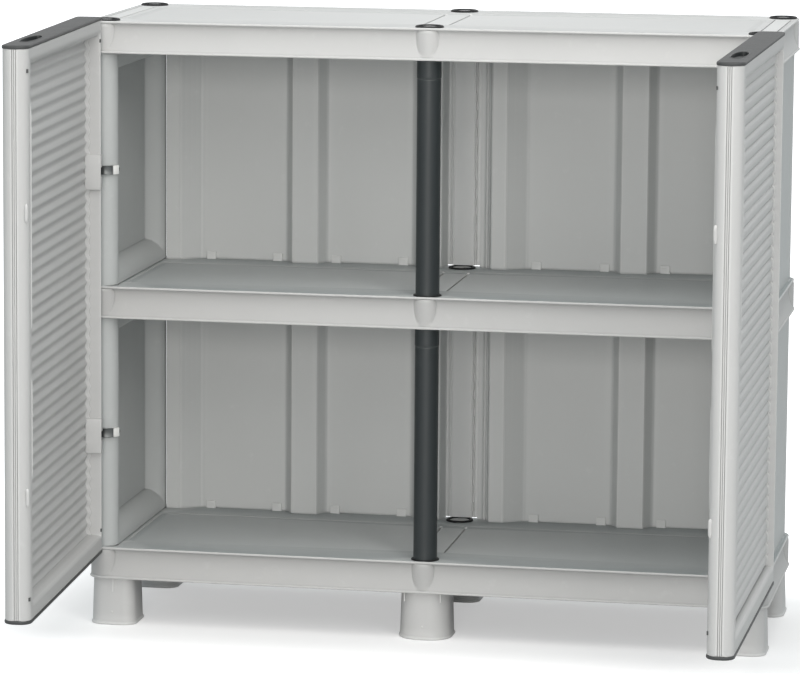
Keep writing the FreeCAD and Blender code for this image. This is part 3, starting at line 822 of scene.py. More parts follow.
    def hollow(self, skin: Skin, plan: Array, top: float, depth: float, edge: float) -> Array:
        """Sinks a flat-bottomed hollow with rounded edges.

        Args:
            skin: Where the surface goes.
            plan: Outline (n, 2) at the top.
            top: Height of the surface that it sinks into.
            depth: Depth.
            edge: Width of its rounded wall.

        Returns:
            The loop on the floor of the hollow.
        """
        part = np.linspace(0.0, 1.0, 6)
        rows = [*zip(edge * part, depth * smooth_step(part)), (edge * 1.25, depth)]
        loops = contour(plan, rows, top, -1)
        skin.grid(loops, around=True)
        return loops[-1]

    def build(self) -> None:
        """Makes the panel: rim, deck with sockets, slots and edge grooves, underside and boss tubes."""
        skin = Skin()
        upper, lower = self.skirt(skin)
        sockets = [(x, y) for x in (-self.socket_x, 0.0, self.socket_x) for y in (0.0, self.row)]
        y0, y1 = self.field_y
        sunk = rounded_box(-self.field_x, y0, self.field_x, y1, (self.field_round,) * 4)
        floor = self.hollow(skin, sunk, self.deck, self.field_depth, 2.5)
        holes = [level(sunk, self.deck)]
        for socket in sockets:
            mouth = circle(self.bore, socket, 48)
            bottom = level(mouth, self.deck - self.mouth_depth)
            skin.grid(np.stack([level(mouth, self.deck), bottom]), around=True)
            skin.lid(bottom)
            holes.append(level(mouth, self.deck))
        for x, half in [(side.value * x, half) for side in Side for x, half in self.grooves]:
            groove = rounded_box(x - half, 26.0, x + half, self.row - 26.0, (half * 0.9,) * 4, 4)
            skin.lid(self.hollow(skin, groove, self.deck, self.groove_depth, 0.3))
            holes.append(level(groove, self.deck))
        skin.lid(upper, *holes)
        slots = []
        field = self.deck - self.field_depth
        dome = [(2.6, -1.0), (2.6, 0.0), (2.1, 1.0), (1.2, 1.7), (0.0, 2.0)]
        reach, y0, y1 = self.slot
        for x in (-reach, reach):
            slot = rounded_box(x - self.slot_half, y0, x + self.slot_half, y1, (1.4,) * 4, 4)
            skin.lid(self.hollow(skin, slot, field, self.slot_depth, 0.25))
            slots.append(level(slot, field))
            skin.lathe(dome, (x, y1 + 4.0, field), 20)
        skin.lid(floor, *slots)
        skin.lid(lower)
        tube = [(18.3, -3.5), (23.4, -3.5), (23.4, -45.0), (22.8, -45.8), (18.9, -45.8), (18.3, -45.2)]
        for socket in sockets:
            skin.lathe(tube, (*socket, self.deck), 56, ring=True)
        settle(skin, self.name, self.finish, "shelf_plastic")


@dataclass
class Foot:
    """A flared hollow foot with a rounded plan, a rolled rim on the floor, short ribs and a button."""

    row: Row
    place: Place
    finish: bpy.types.Material
    top: float = 71.0
    reach: float = 473.5
    back: float = 16.0
    half: float = 35.0
    corner_half: float = 31.5
    middle_half: float = 36.5
    corner_round: float = 16.0
    middle_round: float = 30.0
    flare: float = 2.0

    def build(self) -> None:
        """Makes the foot as a stack of rounded rectangles that widen downwards, closed over its hollow."""
        front, middle = self.row is Row.FRONT, self.place is Place.MIDDLE
        x, y = self.place.value * self.reach, self.back if front else SOCKET_ROW - self.back
        across = self.middle_half if middle else self.corner_half
        r = self.corner_round
        ahead = self.middle_round if middle else r
        radii = (ahead, ahead, r, r) if front else (r, r, ahead, ahead)
        plan = rounded_box(x - across, y - self.half, x + across, y + self.half, radii, 10)
        rows = [(6.0, self.top), (0.8, self.top), (0.0, self.top - 0.8)]
        rows += [(-self.flare * t, self.top - 3 - (self.top - 8) * t) for t in np.linspace(0.0, 1.0, 6)]
        rows += [(-2.4, 4.4), (-3.3, 3.6), (-3.7, 2.4), (-3.5, 1.0), (-2.8, 0.2), (-2.0, 0.0)]
        rows += [(1.8, 0.0), (2.2, 0.6), (2.6, 20.0), (3.5, 60.0), (5.0, 61.0)]
        skin = Skin()
        skin.stack(contour(plan, rows))
        outward = -1.0 if front else 1.0
        button = Skin()
        button.lathe([(1.6, -1.0), (1.6, 0.3), (1.1, 0.9), (0.3, 1.1)], count=16)
        axes = np.array([(1.0, 0.0, 0.0), (0.0, 0.0, 1.0), (0.0, outward, 0.0)])
        button.turned(np.array([x, y + outward * (self.half + self.flare * 0.75), 20.0]), axes)
        skin.join(button)
        pair, single = ((-27.0, 12.0), (27.0, 12.0)), ((-self.place.value, 19.0),)
        face = y + outward * self.half
        near, far = sorted((face - outward, face + outward * 1.3))
        for offset, short in pair if middle else single:
            rib = rounded_box(x + offset - 0.9, near, x + offset + 0.9, far, (0.3,) * 4, 2)
            skin.prism(rib, self.top - 1.5 - short, self.top - 1.5)
        settle(skin, label("foot", self.row, self.place), self.finish, "shelf_plastic")


@dataclass
class SidePanel:
    """Two round posts and the wall between, whose deep inner field ends in a bull nose above and below."""

    side: Side
    tier: Tier
    finish: bpy.types.Material
    post: float = POST_RADIUS
    row: float = SOCKET_ROW
    axis: float = SOCKET_X
    opening: float = OPENING
    inner: float = -12.0      # field inside, from the posts' plane
    outer: float = 14.8       # wall outside
    outer_end: float = 16.2   # the same at its ends
    ramp: float = 32.0
    spigot: float = 3.0       # how much the tips inside the sockets are drawn in

    def across(self) -> Array:
        """Places along Y of one face.

        Returns:
            Places (n,), dense on the posts and beside them, and alike at both ends.
        """
        near = self.post * (1.0 - np.cos(np.linspace(0.0, np.pi / 2, 14))) - self.post
        far = stations((0.0, 24.0, 26), (24.0, 40.0, 7), (40.0, self.row / 2, 8))
        half = np.concatenate([near, far[1:]])
        return np.concatenate([half, self.row - half[::-1][1:]])

    def surface(self, y: Array, wall: Array, blend: float) -> Array:
        """Distance of a face from the posts' own plane.

        Args:
            y: Places along Y (n,).
            wall: The wall's distance at each height (m,).
            blend: Roundness where the wall meets the posts.

        Returns:
            Grid (m, n): the greater, with a rounded crease, of the post's half chord and the wall. Outside
            the posts' middles the wall plays no part.
        """
        reach = np.minimum(np.abs(y), np.abs(y - self.row))
        chord = np.sqrt(np.maximum(self.post**2 - reach**2, 0.0)) - 4.0 * np.maximum(reach - self.post, 0.0)
        joined = soft_max(chord[None, :], wall[:, None], blend)
        within = smooth_step(np.minimum(y, self.row - y) / 10.0)
        plain = np.broadcast_to(chord[None, :], joined.shape)
        past = (y[None, :] <= 0) | (y[None, :] >= self.row)
        return np.where(past, plain, joined * within + plain * (1 - within))

    def build(self) -> None:
        """Makes the panel as closed sections stacked over its height."""
        top, ramp = self.opening, self.ramp
        low, high = ramp + 2.0, top - ramp - 2.0
        tips = ((-2.0, 2.0, 3), (top - 2.0, top + 2.0, 3))
        z = stations(*tips, (2.1, low, 40), (low, high, 6), (high, top - 2.1, 40))
        y = self.across()
        from_end = np.minimum(z, top - z)
        rise = np.clip(from_end / ramp, 0.0, 1.0)
        wall_in = self.post + (self.inner - self.post) * (1.0 - np.sqrt(1.0 - rise**2))
        wall_out = self.outer_end + (self.outer - self.outer_end) * smooth_step((from_end - 16.0) / 26.0)
        inside = self.surface(y, wall_in, 2.5) - self.spigot * (from_end < 2.02)[:, None]
        outside = self.surface(y, wall_out, 3.0)
        sign = self.side.value
        plan_y = np.concatenate([y, y[::-1][1:-1]])
        inward = np.concatenate([inside, -outside[:, ::-1][:, 1:-1]], axis=1)
        x = sign * (self.axis - inward)
        high = np.broadcast_to((z + self.tier.value)[:, None], x.shape)
        skin = Skin()
        skin.stack(np.stack([x, np.broadcast_to(plan_y, x.shape), high], -1))
        settle(skin, label("side_panel", self.side, self.tier), self.finish, "panel_plastic", sharp=40.0)


@dataclass
class BackPanel:
    """Half of the back: a folded sheet with one wide slope, a rib and two fields, stood on the deck."""

    side: Side
    tier: Tier
    finish: bpy.types.Material
    inner: float = 24.9
    outer: float = 467.95
    rib_front: float = 297.5
    field_front: float = 317.0
    sheet: float = 3.0
    opening: float = OPENING
    wide: float = 30.0
    slope: float = 11.0
    rib: float = 40.0
    borders: tuple[float, float] = (24.0, 43.0)        # left of the first fold, right of the last
    fold_round: float = 1.3
    fold_bead: float = 0.7
    left_end: tuple[float, float] = (-32.0, -25.6)     # last slope of the left half
    flange_end: tuple[float, float] = (40.0, 44.5)     # end of the right half's flange
    flange_bead: tuple[float, float] = (36.0, 5.0)     # its bead: place and height
    edge_fall: float = 6.5
    foot_line: float = 2.6

    def ends(self) -> tuple[float, float]:
        """Left and right edge of the sheet."""
        return (-self.outer, -self.inner) if self.side is Side.LEFT else (self.inner, self.outer)

    def folds(self) -> list[tuple[float, float, int]]:
        """Places of the four slopes.

        Returns:
            Start, stop and direction (1 is back, -1 forward) of each, from left to right.
        """
        left, right = self.ends()
        first = self.borders[0 if self.side is Side.LEFT else 1]
        plain = (right - left - sum(self.borders) - self.wide - 3 * self.slope - self.rib) / 2
        rib = (self.slope, self.rib, self.slope)
        marks = np.cumsum([left + first, self.wide, plain, *rib, plain, self.slope])
        return [(marks[2 * i], marks[2 * i + 1], way) for i, way in enumerate((1, -1, 1, -1))]

    def depth(self, x: Array) -> Array:
        """Front face of the sheet.

        Args:
            x: Places across.

        Returns:
            The rib plane, moved back or forward by every slope as a rounded ramp with a faint bead along
            each fold. Both halves are one moulding, so at the middle the left one ends in a slope back and
            the right one starts with a set-back flange that carries a round upright bead. The outer edge
            falls back a little to meet the post.
        """
        y = np.full_like(x, self.rib_front)
        set_back = self.field_front - self.rib_front
        for start, stop, way in self.folds():
            y += way * set_back * soft_ramp(x, start, stop, self.fold_round)
            beads = [np.exp(-(((x - fold) / self.fold_round) ** 2)) for fold in (start, stop)]
            y -= self.fold_bead * sum(beads)
        if self.side is Side.LEFT:
            y += set_back * soft_ramp(x, *self.left_end, 1.0)
        else:
            middle, proud = self.flange_bead
            y += set_back * (1.0 - soft_ramp(x, *self.flange_end, 1.0))
            y -= proud * np.exp(-(((x - middle) / 2.6) ** 2))
        from_outer = self.outer - np.abs(x)
        return y + self.edge_fall * smooth_step(1.0 - from_outer / 2.2)

    def build(self) -> None:
        """Makes the sheet as one section carried up the opening, set back in a fine line along its foot."""
        left, right = self.ends()
        spans = [(left, left + 3, 13), (left, left + 24, 32), (left, right, 60)]
        spans += [(right - 14, right, 22), (right - 3, right, 13)]
        spans += [(start - 6, stop + 6, 22) for start, stop, _ in self.folds()]
        x = stations(*spans)
        front = self.depth(x)
        back = np.stack([x, front + self.sheet], -1)[::-1]
        foot = [(0.0, self.foot_line), (2.0, self.foot_line), (2.1, 0.0)]
        rows = []
        for high, sunk in [*foot, (self.opening - 1.35, 0.0), (self.opening + 2.0, 0.0)]:
            section = np.concatenate([np.stack([x, front + sunk], -1), back])
            rows.append(level(section, self.tier.value + high))
        skin = Skin()
        skin.stack(np.stack(rows))
        settle(skin, label("back_panel", self.side, self.tier), self.finish, "panel_plastic")

    def clip_places(self) -> list[float]:
        """Where the clips stand.

        Returns:
            Left edge of each of the four, two at the ends of each field.
        """
        folds = self.folds()
        fields = ((folds[0][1], folds[1][0]), (folds[2][1], folds[3][0]))
        return [x for low, high in fields for x in (low + 8.0, high - 23.0)]


@dataclass
class BackJoint:
    """The strip that closes the gap between the two halves of the back, with its row of latch marks."""

    tier: Tier
    finish: bpy.types.Material
    half: float = 24.7
    front: float = 317.0
    rear: float = 320.0
    top: float = OPENING
    mark_pitch: float = 27.0
    mark_high: float = 13.0

    def build(self) -> None:
        """Makes the strip: a raised middle, a bead each side and a groove outside them, carried upwards."""
        x = stations((-self.half, self.half, 70), (15.0, 22.0, 15), (-22.0, -15.0, 15))
        reach = np.abs(x)
        raised = 4.2 * (1.0 - soft_ramp(reach, 17.0, 17.8, 0.2))
        raised -= 0.9 * np.exp(-(((reach - 15.2) / 0.5) ** 2))
        bead = 1.6 * np.exp(-(((reach - 20.4) / 0.9) ** 2))
        section = np.stack([x, self.front - raised - bead], -1)
        section = np.concatenate([section, [(self.half, self.rear), (-self.half, self.rear)]])
        skin = Skin()
        deck = self.tier.value
        skin.prism(section, deck + 3.2, deck + self.top)
        mark = rounded_box(17.9, self.front - 5.3, 19.2, self.front - 0.5, (0.3,) * 4, 2)
        for low in np.arange(14.0, 330.0, self.mark_pitch):
            skin.prism(mark, deck + low, deck + (low + self.mark_high))
        settle(skin, label("back_strip", self.tier), self.finish, "panel_plastic")


@dataclass
class SmallFittings:
    """Clips along the foot of the back, rings and plugs in the open sockets, and rings under the columns."""

    finishes: Finishes
    clip_wide: float = 15.0

    def clips(self, panels: list[BackPanel]) -> None:
        """Makes every clip as a small tab with an eased top edge and a narrow sill across its front.

        Args:
            panels: The back panels that they hold.
        """
        skin = Skin()
        rows = [(0.0, 0.0), (0.0, 10.4), (0.3, 11.4), (0.9, 12.0)]
        for panel in panels:
            deck = panel.tier.value
            face = panel.field_front
            for x in panel.clip_places():
                plan = rounded_box(x, face - 3.1, x + self.clip_wide, face + 0.1, (1.0,) * 4, 4)
                skin.stack(contour(plan, rows, deck))
                sill = rounded_box(x + 3.0, face - 3.8, x + 12.0, face - 2.9, (0.4,) * 4, 2)
                skin.prism(sill, deck + 7.6, deck + 9.2)
        settle(skin, "back_panel_clips", self.finishes.panel, "panel_plastic")

    def places(self) -> dict[str, tuple[float, float, float]]:
        """Every open socket.

        Returns:
            The middle of each at its deck, by the end of its ring's name.
        """
        found = {}
        for row in Row:
            for place in Place:
                found[label("top", row, place)] = (place.value * SOCKET_X, row.value, TOP_DECK)
        found["middle_shelf"] = (0.0, SOCKET_ROW, Tier.UPPER.value)
        found["base"] = (0.0, SOCKET_ROW, Tier.LOWER.value)
        return found

    def rings(self) -> None:
        """Makes a flanged ring with a rolled edge for each open socket, and all their plugs."""
        section = [(16.4, -2.5), (16.3, 1.4), (16.6, 2.3), (17.4, 2.9), (18.4, 3.1), (19.4, 2.9)]
        section += [(20.3, 2.3), (20.9, 1.3), (21.0, 0.4), (20.7, 0.0), (18.0, -0.1), (17.9, -2.5)]
        for name, place in self.places().items():
            skin = Skin()
            skin.lathe(section, place, 72, ring=True)
            settle(skin, "socket_ring_" + name, self.finishes.ring, "dark_plastic")
        skin = Skin()
        plug = [(15.6, -2.4), (15.5, 0.2), (15.1, 0.8), (14.2, 1.1), (13.0, 1.1)]
        plug += [(12.3, 0.7), (11.0, 0.6), (3.0, 0.6), (2.4, 0.8), (0.6, 0.9)]
        for place in self.places().values():
            skin.lathe(plug, place)
        settle(skin, "socket_plugs", self.finishes.shelf, "shelf_plastic")

    def column_rings(self) -> None:
        """Makes the rings round the feet of the columns."""
        section = [(17.9, 0.0), (17.9, 1.5), (18.3, 1.9), (19.6, 1.9)]
        section += [(20.5, 1.6), (21.0, 1.0), (21.0, 0.2), (20.6, 0.0)]
        skin = Skin()
        for tier in Tier:
            skin.lathe(section, (0.0, 0.0, tier.value), 72, ring=True)
        settle(skin, "column_base_rings", self.finishes.ring, "dark_plastic")


@dataclass
class Column:
    """A front middle column: a plain tube and the short sleeve that joins it to the panel above."""

    tier: Tier
    finish: bpy.types.Material
    radius: float = 17.6
    over: float = 0.4
    seam: float = 321.0
    top: float = 349.0

    def build(self) -> None:
        """Makes the tube and the sleeve, each turned from its profile with eased ends at the seam."""
        foot = (0.0, 0.0, self.tier.value)
        r, seam = self.radius, self.seam
        tube = [(r, z) for z in (-2.8, 2.0, 40.0, 160.0, 280.0, seam - 8.0, seam - 3.0, seam - 1.6)]
        tube += [(r - 0.3, seam - 0.8), (r - 1.0, seam - 0.5)]
        s = r + self.over
        sleeve = [(s - 1.2, seam - 0.6), (s - 0.4, seam - 0.2)]
        sleeve += [(s, z) for z in (seam + 0.6, seam + 2.0, seam + 5.0, self.top - 5.0, self.top)]
        for kind, profile in (("front_column", tube), ("column_sleeve", sleeve)):
            skin = Skin()
            skin.lathe(profile, foot, 72)
            settle(skin, label(kind, self.tier), self.finish, "column_plastic")


# Doors. Their own frame: x from the hinge pin to the free edge, y towards the cabinet when shut, z up

@dataclass
class Door:
    """A hollow door: two moulded halves with level corrugations, two caps, two hinge blocks and pins."""

    side: Side
    finishes: Finishes
    open_angle: float
    hinge: tuple[float, float] = HINGE
    start: float = -8.0                                # edge behind the pin
    end: float = 500.0                                 # free edge
    half: float = 18.5                                 # half the thickness
    low: float = 118.5
    high: float = 911.0
    hinge_round: float = 8.0
    free_round: float = 15.0
    field_x: tuple[float, float] = (0.0, 478.0)
    field_z: tuple[float, float] = (141.0, 887.0)
    ridges: int = 43
    inner_floor: tuple[float, float] = (-2.0, -5.5)    # crest and valley, towards the inner face
    outer_floor: tuple[float, float] = (-8.2, -4.5)
    nose: float = 12.0                                 # round above the field
    step: float = 6.5                                  # round below it
    lips: tuple[float, float] = (1.5, 0.8)             # inner and outer half
    block_end: float = 8.0
    block_high: float = 26.0                           # half its height
    web: float = -6.7
    knuckle_room: float = 7.0
    arm_room: float = 9.0
    nub_at: tuple[float, float] = (495.6, 15.8)
    nub_radius: float = 2.9
    nub_half: float = 13.0
    hole_x: float = 388.0
    hole_half: tuple[float, float] = (49.0, 10.0)
    rim_depth: float = 10.0
    over: float = 1.0                                  # how far a cap stands past the shells

    @property
    def body(self) -> str:
        """Name of the body that the door is."""
        return self.side.name.lower() + "_door"

    def stand(self, skin: Skin) -> Skin:
        """Turns a piece from the door's own frame to where the door stands open.

        Args:
            skin: The piece in the door's own frame.

        Returns:
            The same piece, moved.
        """
        sign = self.side.value
        angle = math.radians(sign * self.open_angle)
        along = -sign * np.array([math.cos(angle), math.sin(angle), 0.0])
        inward = np.array([-math.sin(angle), math.cos(angle), 0.0])
        axes = np.array([along, inward, (0.0, 0.0, 1.0)])
        return skin.turned(np.array([sign * self.hinge[0], self.hinge[1], 0.0]), axes)

    def path(self) -> tuple[Array, Array]:
        """Half of the door's plan, from the seam at the hinge edge round to the seam at the free edge.

        Returns:
            Points (n, 2) with y above 0, and 1 for each on the flat face or 0 (n,). They follow a quarter
            circle, the flat face, a larger quarter circle, and a short step in for the seam band.
        """
        turn = np.linspace(0.0, np.pi / 2, 9)
        r = self.hinge_round
        near = np.stack([self.start + r - r * np.cos(turn), self.half - r + r * np.sin(turn)], -1)
        x0, x1 = self.field_x
        x = stations((x0, x0 + 6, 25), (x0 + 6, x0 + 12, 7), (x0 + 12, x1 - 8, 12), (x1 - 8, x1 + 7, 31))
        flat = np.stack([x, np.full_like(x, self.half)], -1)
        r = self.free_round
        turn = np.linspace(0.0, np.pi / 2, 15)
        far = np.stack([self.end - r + r * np.sin(turn), self.half - r + r * np.cos(turn)], -1)
        e = self.end
        band = [(e - 0.02, 3.5), (e - 0.1, 3.3), (e - 1.4, 3.1), (e - 1.5, 2.5), (e - 0.3, 2.1)]
        band += [(e - 0.1, 1.7), (e - 0.1, 0.8), (e - 0.9, 0.5), (e - 1.0, 0.2)]
        first = [(self.start + 1.0, 0.2), (self.start, 1.2), (self.start, 5.0)]
        before = np.concatenate([first, near[1:-1]])
        after = np.concatenate([far[1:], band])
        on_face = np.concatenate([np.zeros(len(before)), np.ones(len(flat)), np.zeros(len(after))])
        return np.concatenate([before, flat, after]), on_face

    def floors(self, z: Array) -> tuple[Array, Array]:
        """The two sides of the corrugated sheet that fills the door's frame.

        Args:
            z: Heights.

        Returns:
            Depth of the inner side, an even wave, and of the outer side, whose ridges are round and broad
            with narrow valleys: the cube of the distance from a ridge's middle. An outer valley lies behind
            each inner crest, so that the sheet keeps its thickness.
        """
        z0, z1 = self.field_z
        phase = (z - z0) / (z1 - z0) * self.ridges
        crest, valley = self.inner_floor
        inner = (crest + valley) / 2 + (crest - valley) / 2 * np.cos(2.0 * np.pi * phase)
        across = 1.0 - np.abs(2.0 * (phase - np.floor(phase)) - 1.0)
        crest, valley = self.outer_floor
        outer = crest + (valley - crest) * (1.0 - across) ** 3
        return inner, outer

    def relief(self, face: Face, x: Array, z: Array) -> Array:
        """Places of one face, measured outwards from the door's middle plane.

        Args:
            face: Which half.
            x: Places across the door.
            z: Heights.

        Returns:
            The face's plane; the corrugated floor inside the frame, reached over a steep wall with a narrow
            ledge at the hinge side and straight down at the free side, where a thin lip stands along the
            edge, left out beside the middle shelf; a round nose above the field, a smaller round below it.
        """
        x0, x1 = self.field_x
        z0, z1 = self.field_z
        floor = face.value * self.floors(z)[0 if face is Face.INNER else 1]
        inside = (z > z0) & (z < z1)
        wall = 0.78 * smooth_step((x - x0 - 0.2) / 2.2) + 0.22 * smooth_step((x - x0 - 3.3) / 1.4)
        wall -= 0.03 * np.exp(-(((x - x0 - 3.0) / 0.4) ** 2))
        wall = wall * smooth_step((x1 - x) / 2.0)
        edges = smooth_step((z - 300.0) / 30.0) * smooth_step((850.0 - z) / 30.0)
        edges = edges * smooth_step((np.abs(z - 490.0) - 32.0) / 8.0)
        high = self.lips[0 if face is Face.INNER else 1]
        lip = high * np.exp(-((x - x1 - 2.0) ** 2)) * edges
        over = np.clip((z1 + self.nose - z) / self.nose, 0.0, 1.0) * (z >= z1)
        under = np.clip((z - z0 + self.step) / self.step, 0.0, 1.0) * (z <= z0)
        rounded = self.nose * (1.0 - np.sqrt(1.0 - over**2)) + self.step * (1.0 - np.sqrt(1.0 - under**2))
        rounded = rounded * smooth_step((x - x0) / 3.0) * smooth_step((x1 - x) / 2.0)
        return np.where(inside, self.half + (floor - self.half) * wall, self.half - rounded) + lip

    def closing(self, face: Face, x: Array, z: Array) -> Array:
        """Back of one half, where it meets the other, measured outwards from the door's middle plane.

        Args:
            face: Which half.
            x: Places across the door.
            z: Heights.

        Returns:
            The middle plane in the frame and the middle of the sheet in the field, with a hair's gap.
        """
        z0, z1 = self.field_z
        middle = face.value * sum(self.floors(np.clip(z, z0, z1))) / 2
        across = smooth_step((x + 3.5) / 2.0) * smooth_step((self.field_x[1] + 5.5 - x) / 2.0)
        up = smooth_step((z - z0 + 4.0) / 3.0) * smooth_step((z1 + 4.0 - z) / 3.0)
        return 0.1 + middle * across * up

    def shell(self, face: Face) -> None:
        """Makes one half of the door: sections stacked over the height, hollow at both ends down to a floor.

        Beside the hinges the inner half is cut back to the hinge blocks' end, and the outer half makes room
        round the knuckle.

        Args:
            face: Which half.
        """
        plan, on_face = self.path()
        z0, z1 = self.field_z
        round_end = z1 + self.nose
        rails = ((self.low + 1.2, z0 - self.step, 5), (round_end, self.high - 1.2, 5))
        rounds = ((z0 - self.step, z0, 9), (z1, round_end, 13))
        z = stations(*rails, *rounds, (z0 + 0.4, z1 - 0.4, self.ridges * 12 + 1))
        room = self.arm_room
        edges = (-room - 0.05, -room, room, room + 0.05)
        z = np.unique(np.concatenate([z, [tier.hinge + edge for tier in Tier for edge in edges]]))[:, None]
        x = np.broadcast_to(plan[:, 0], (len(z), len(plan)))
        y = np.where(on_face > 0, self.relief(face, x, z), plan[:, 1])
        x0, x1 = self.field_x
        back_x = stations((self.start + 3.0, x0 + 10, 19), (x1 - 6, self.end - 3.0, 10))[::-1]
        back_x = np.broadcast_to(back_x, (len(z), len(back_x)))
        back_y = self.closing(face, back_x, z)
        hinges = np.array([tier.hinge for tier in Tier])
        opened = np.abs(z - hinges).min(axis=1, keepdims=True) < room + 0.02
        if face is Face.INNER:
            stop = self.block_end
            cut, back_cut = opened & (x < stop), opened & (back_x < stop)
            y = np.where(cut, self.floors(z)[0], y)
            back_y = np.where(back_cut, self.closing(face, stop, z), back_y)
            x, back_x = np.where(cut, stop, x), np.where(back_cut, stop, back_x)
        else:
            clear = self.knuckle_room
            face_y = self.relief(face, np.maximum(back_x, 0.0), z)
            round_pin = np.minimum(np.sqrt(np.maximum(clear**2 - back_x**2, 0.0)), face_y - 0.4)
            back_y = np.where(opened & (back_x < clear), np.maximum(back_y, round_pin), back_y)
            y = np.where(opened & (x < 0.0), np.maximum(y, clear), y)
        outside = np.stack([x, y, np.broadcast_to(z, x.shape)], -1)
        back = np.stack([back_x, back_y, np.broadcast_to(z, back_x.shape)], -1)
        loops = np.concatenate([outside, back], axis=1)
        below, above = self.mouth(loops[0], End.BOTTOM), self.mouth(loops[-1], End.TOP)
        loops = np.stack([*below, *loops, *above])
        loops[..., 1] *= face.value
        skin = Skin()
        skin.stack(loops)
        if face is Face.INNER:
            for tier in Tier:
                self.nub(skin, tier.hinge)
        name = label("door", self.side, face) + "_shell"
        settle(self.stand(skin), name, self.finishes.door, "door_plastic", self.body, 40.0)

    def nub(self, skin: Skin, height: float) -> None:
        """Adds the small nub on the inner half's free edge, level with a hinge.

        It is a stack of circles, each smaller by the root of 1 less the fourth power of its place along the
        nub, which runs from -1 to 1.

        Args:
            skin: The inner half.
            height: Middle of the nub.
        """
        plan = circle(self.nub_radius, self.nub_at, 24)
        loops = []
        for part in np.linspace(-0.98, 0.98, 15):
            ring = (plan - self.nub_at) * np.sqrt(1.0 - part**4) + self.nub_at
            loops.append(level(ring, height + self.nub_half * part))
        skin.stack(np.stack(loops))

    def mouth(self, loop: Array, end: End) -> list[Array]:
        """Loops that turn a section over its rim and down inside it.

        Args:
            loop: The section (n, 3) nearest the end.
            end: Which end of the door.

        Returns:
            The loops in rising order: rim, inner wall and floor, each the section drawn in towards its
            middle line by the wall's thickness.
        """
        rim = self.high if end is End.TOP else self.low
        drawn = []
        for amount, depth in ((0.25, 0.35), (0.8, 0.0), (1.8, 0.0), (2.2, 0.6), (2.2, 10.0), (3.0, 10.6)):
            x, y = loop[:, 0], loop[:, 1]
            outer = np.maximum(y - amount, 0.16 + amount * 0.5)
            y = np.where(y > 0.5, outer, 0.15 + amount * 0.45)
            x = np.clip(x, self.start + amount, self.end - 0.3 - amount)
            drawn.append(level(np.stack([x, y], -1), rim - end.value * depth))
        return drawn[::end.value]

    def cap(self, end: End) -> None:
        """Makes a dark cap: a plate with eased edges, a long oval hole with a rolled rim, and two snap tabs.

        The hole is a circle whose sine and cosine are raised to 0.85, drawn out to its two half widths.

        Args:
            end: Which end of the door.
        """
        over = self.over
        r, near_r, wide = self.free_round + over, self.hinge_round + over, self.half + over
        radii = (near_r, r, r, near_r)
        plan = rounded_box(self.start - over, -wide, self.end + over, wide, radii, 14)
        seat = self.high if end is End.TOP else self.low
        way = end.value
        rows = [(3.0, 0.0), (1.0, 0.0), (0.3, 0.3), (0.0, 1.0), (0.0, 3.4)]
        rows += [(0.3, 4.2), (0.9, 4.7), (1.8, 5.0), (3.2, 5.0)]
        loops = contour(plan, rows, seat, way)
        skin = Skin()
        skin.grid(loops, around=True)
        hole = circle(1.0, count=72)
        hole = np.sign(hole) * np.abs(hole) ** 0.85 * self.hole_half + (self.hole_x, 0.0)
        inner = [(-2.6, 5.0), (-2.2, 5.5), (-1.5, 5.8), (-0.7, 5.7), (-0.1, 5.0), (0.0, 4.0)]
        inner += [(0.0, 0.4 - self.rim_depth), (0.6, -self.rim_depth)]
        rim = contour(hole, inner, seat, way)
        skin.grid(rim, around=True)
        skin.lid(loops[-1], rim[0])
        skin.lid(loops[0])
        # A dark floor closes the hole at the rim's depth: painted shade for the deep hollow of the door
        # below.
        skin.lid(rim[-1])
        for x, y in ((491.5, 16.0), (-1.4, 16.4)):
            tab = rounded_box(x - 2.0, y - 2.0, x + 2.0, y + 2.4, (0.5,) * 4, 2)
            skin.prism(tab, seat - way * 27.5, seat - way * 32.5)
        name = label("door", self.side, end) + "_cap"
        settle(self.stand(skin), name, self.finishes.dark, "dark_plastic", self.body)

    def block(self, tier: Tier) -> None:
        """Makes one hinge block: a slab on the frame's hinge side, proud of it and open for the arm.

        Args:
            tier: Which hinge.
        """
        low, edge = self.start - 0.3, self.block_end
        turn = np.linspace(np.pi / 2, np.pi, 9)
        corner = np.stack([low + 8.0 + 8.0 * np.cos(turn), 12.0 + 8.0 * np.sin(turn)], -1)
        foot = [(low, -8.6), (2.0, -8.6), (4.0, -6.5), (4.4, -4.2), (edge - 0.6, -4.2), (edge, -3.6)]
        top = [(edge, 18.8), (edge - 0.4, 19.6), (edge - 1.2, 20.0)]
        plan = np.concatenate([foot, top, corner, [(low, -2.0), (low, -5.0), (low, self.web)]])
        notched = plan.copy()
        notched[len(foot):, 0] = np.maximum(plan[len(foot):, 0], edge - 1.1)
        notched[-3:] = (edge - 1.1, -3.4), (3.4, -6.0), (low, self.web)
        high = self.block_high
        full = [(1.6, -high), (0.8, -high), (0.3, 0.3 - high), (0.0, 1.0 - high), (0.0, -self.arm_room)]
        lower, upper = contour(plan, full, tier.hinge), contour(plan, full[::-1], tier.hinge, -1)
        bends = ((plan, -7.2), (notched, -7.2), (notched, 7.2), (plan, 7.2))
        middle = [level(outline, tier.hinge + z) for outline, z in bends]
        skin = Skin()
        skin.stack(np.stack([*lower, *middle, *upper]))
        name = label("hinge_block", self.side, tier)
        settle(self.stand(skin), name, self.finishes.block, "door_plastic", self.body)

    def pin(self, tier: Tier) -> None:
        """Makes one upright hinge pin, a rod with domed ends turned from its profile.

        Args:
            tier: Which hinge.
        """
        dome = [(0.6, 26.2), (1.7, 25.9), (2.4, 25.2), (2.5, 24.6)]
        skin = Skin()
        skin.lathe([(r, -z) for r, z in dome] + dome[::-1], (0.0, 0.0, tier.hinge), 28)
        name = label("hinge_pin", self.side, tier)
        settle(self.stand(skin), name, self.finishes.steel, "steel", self.body)

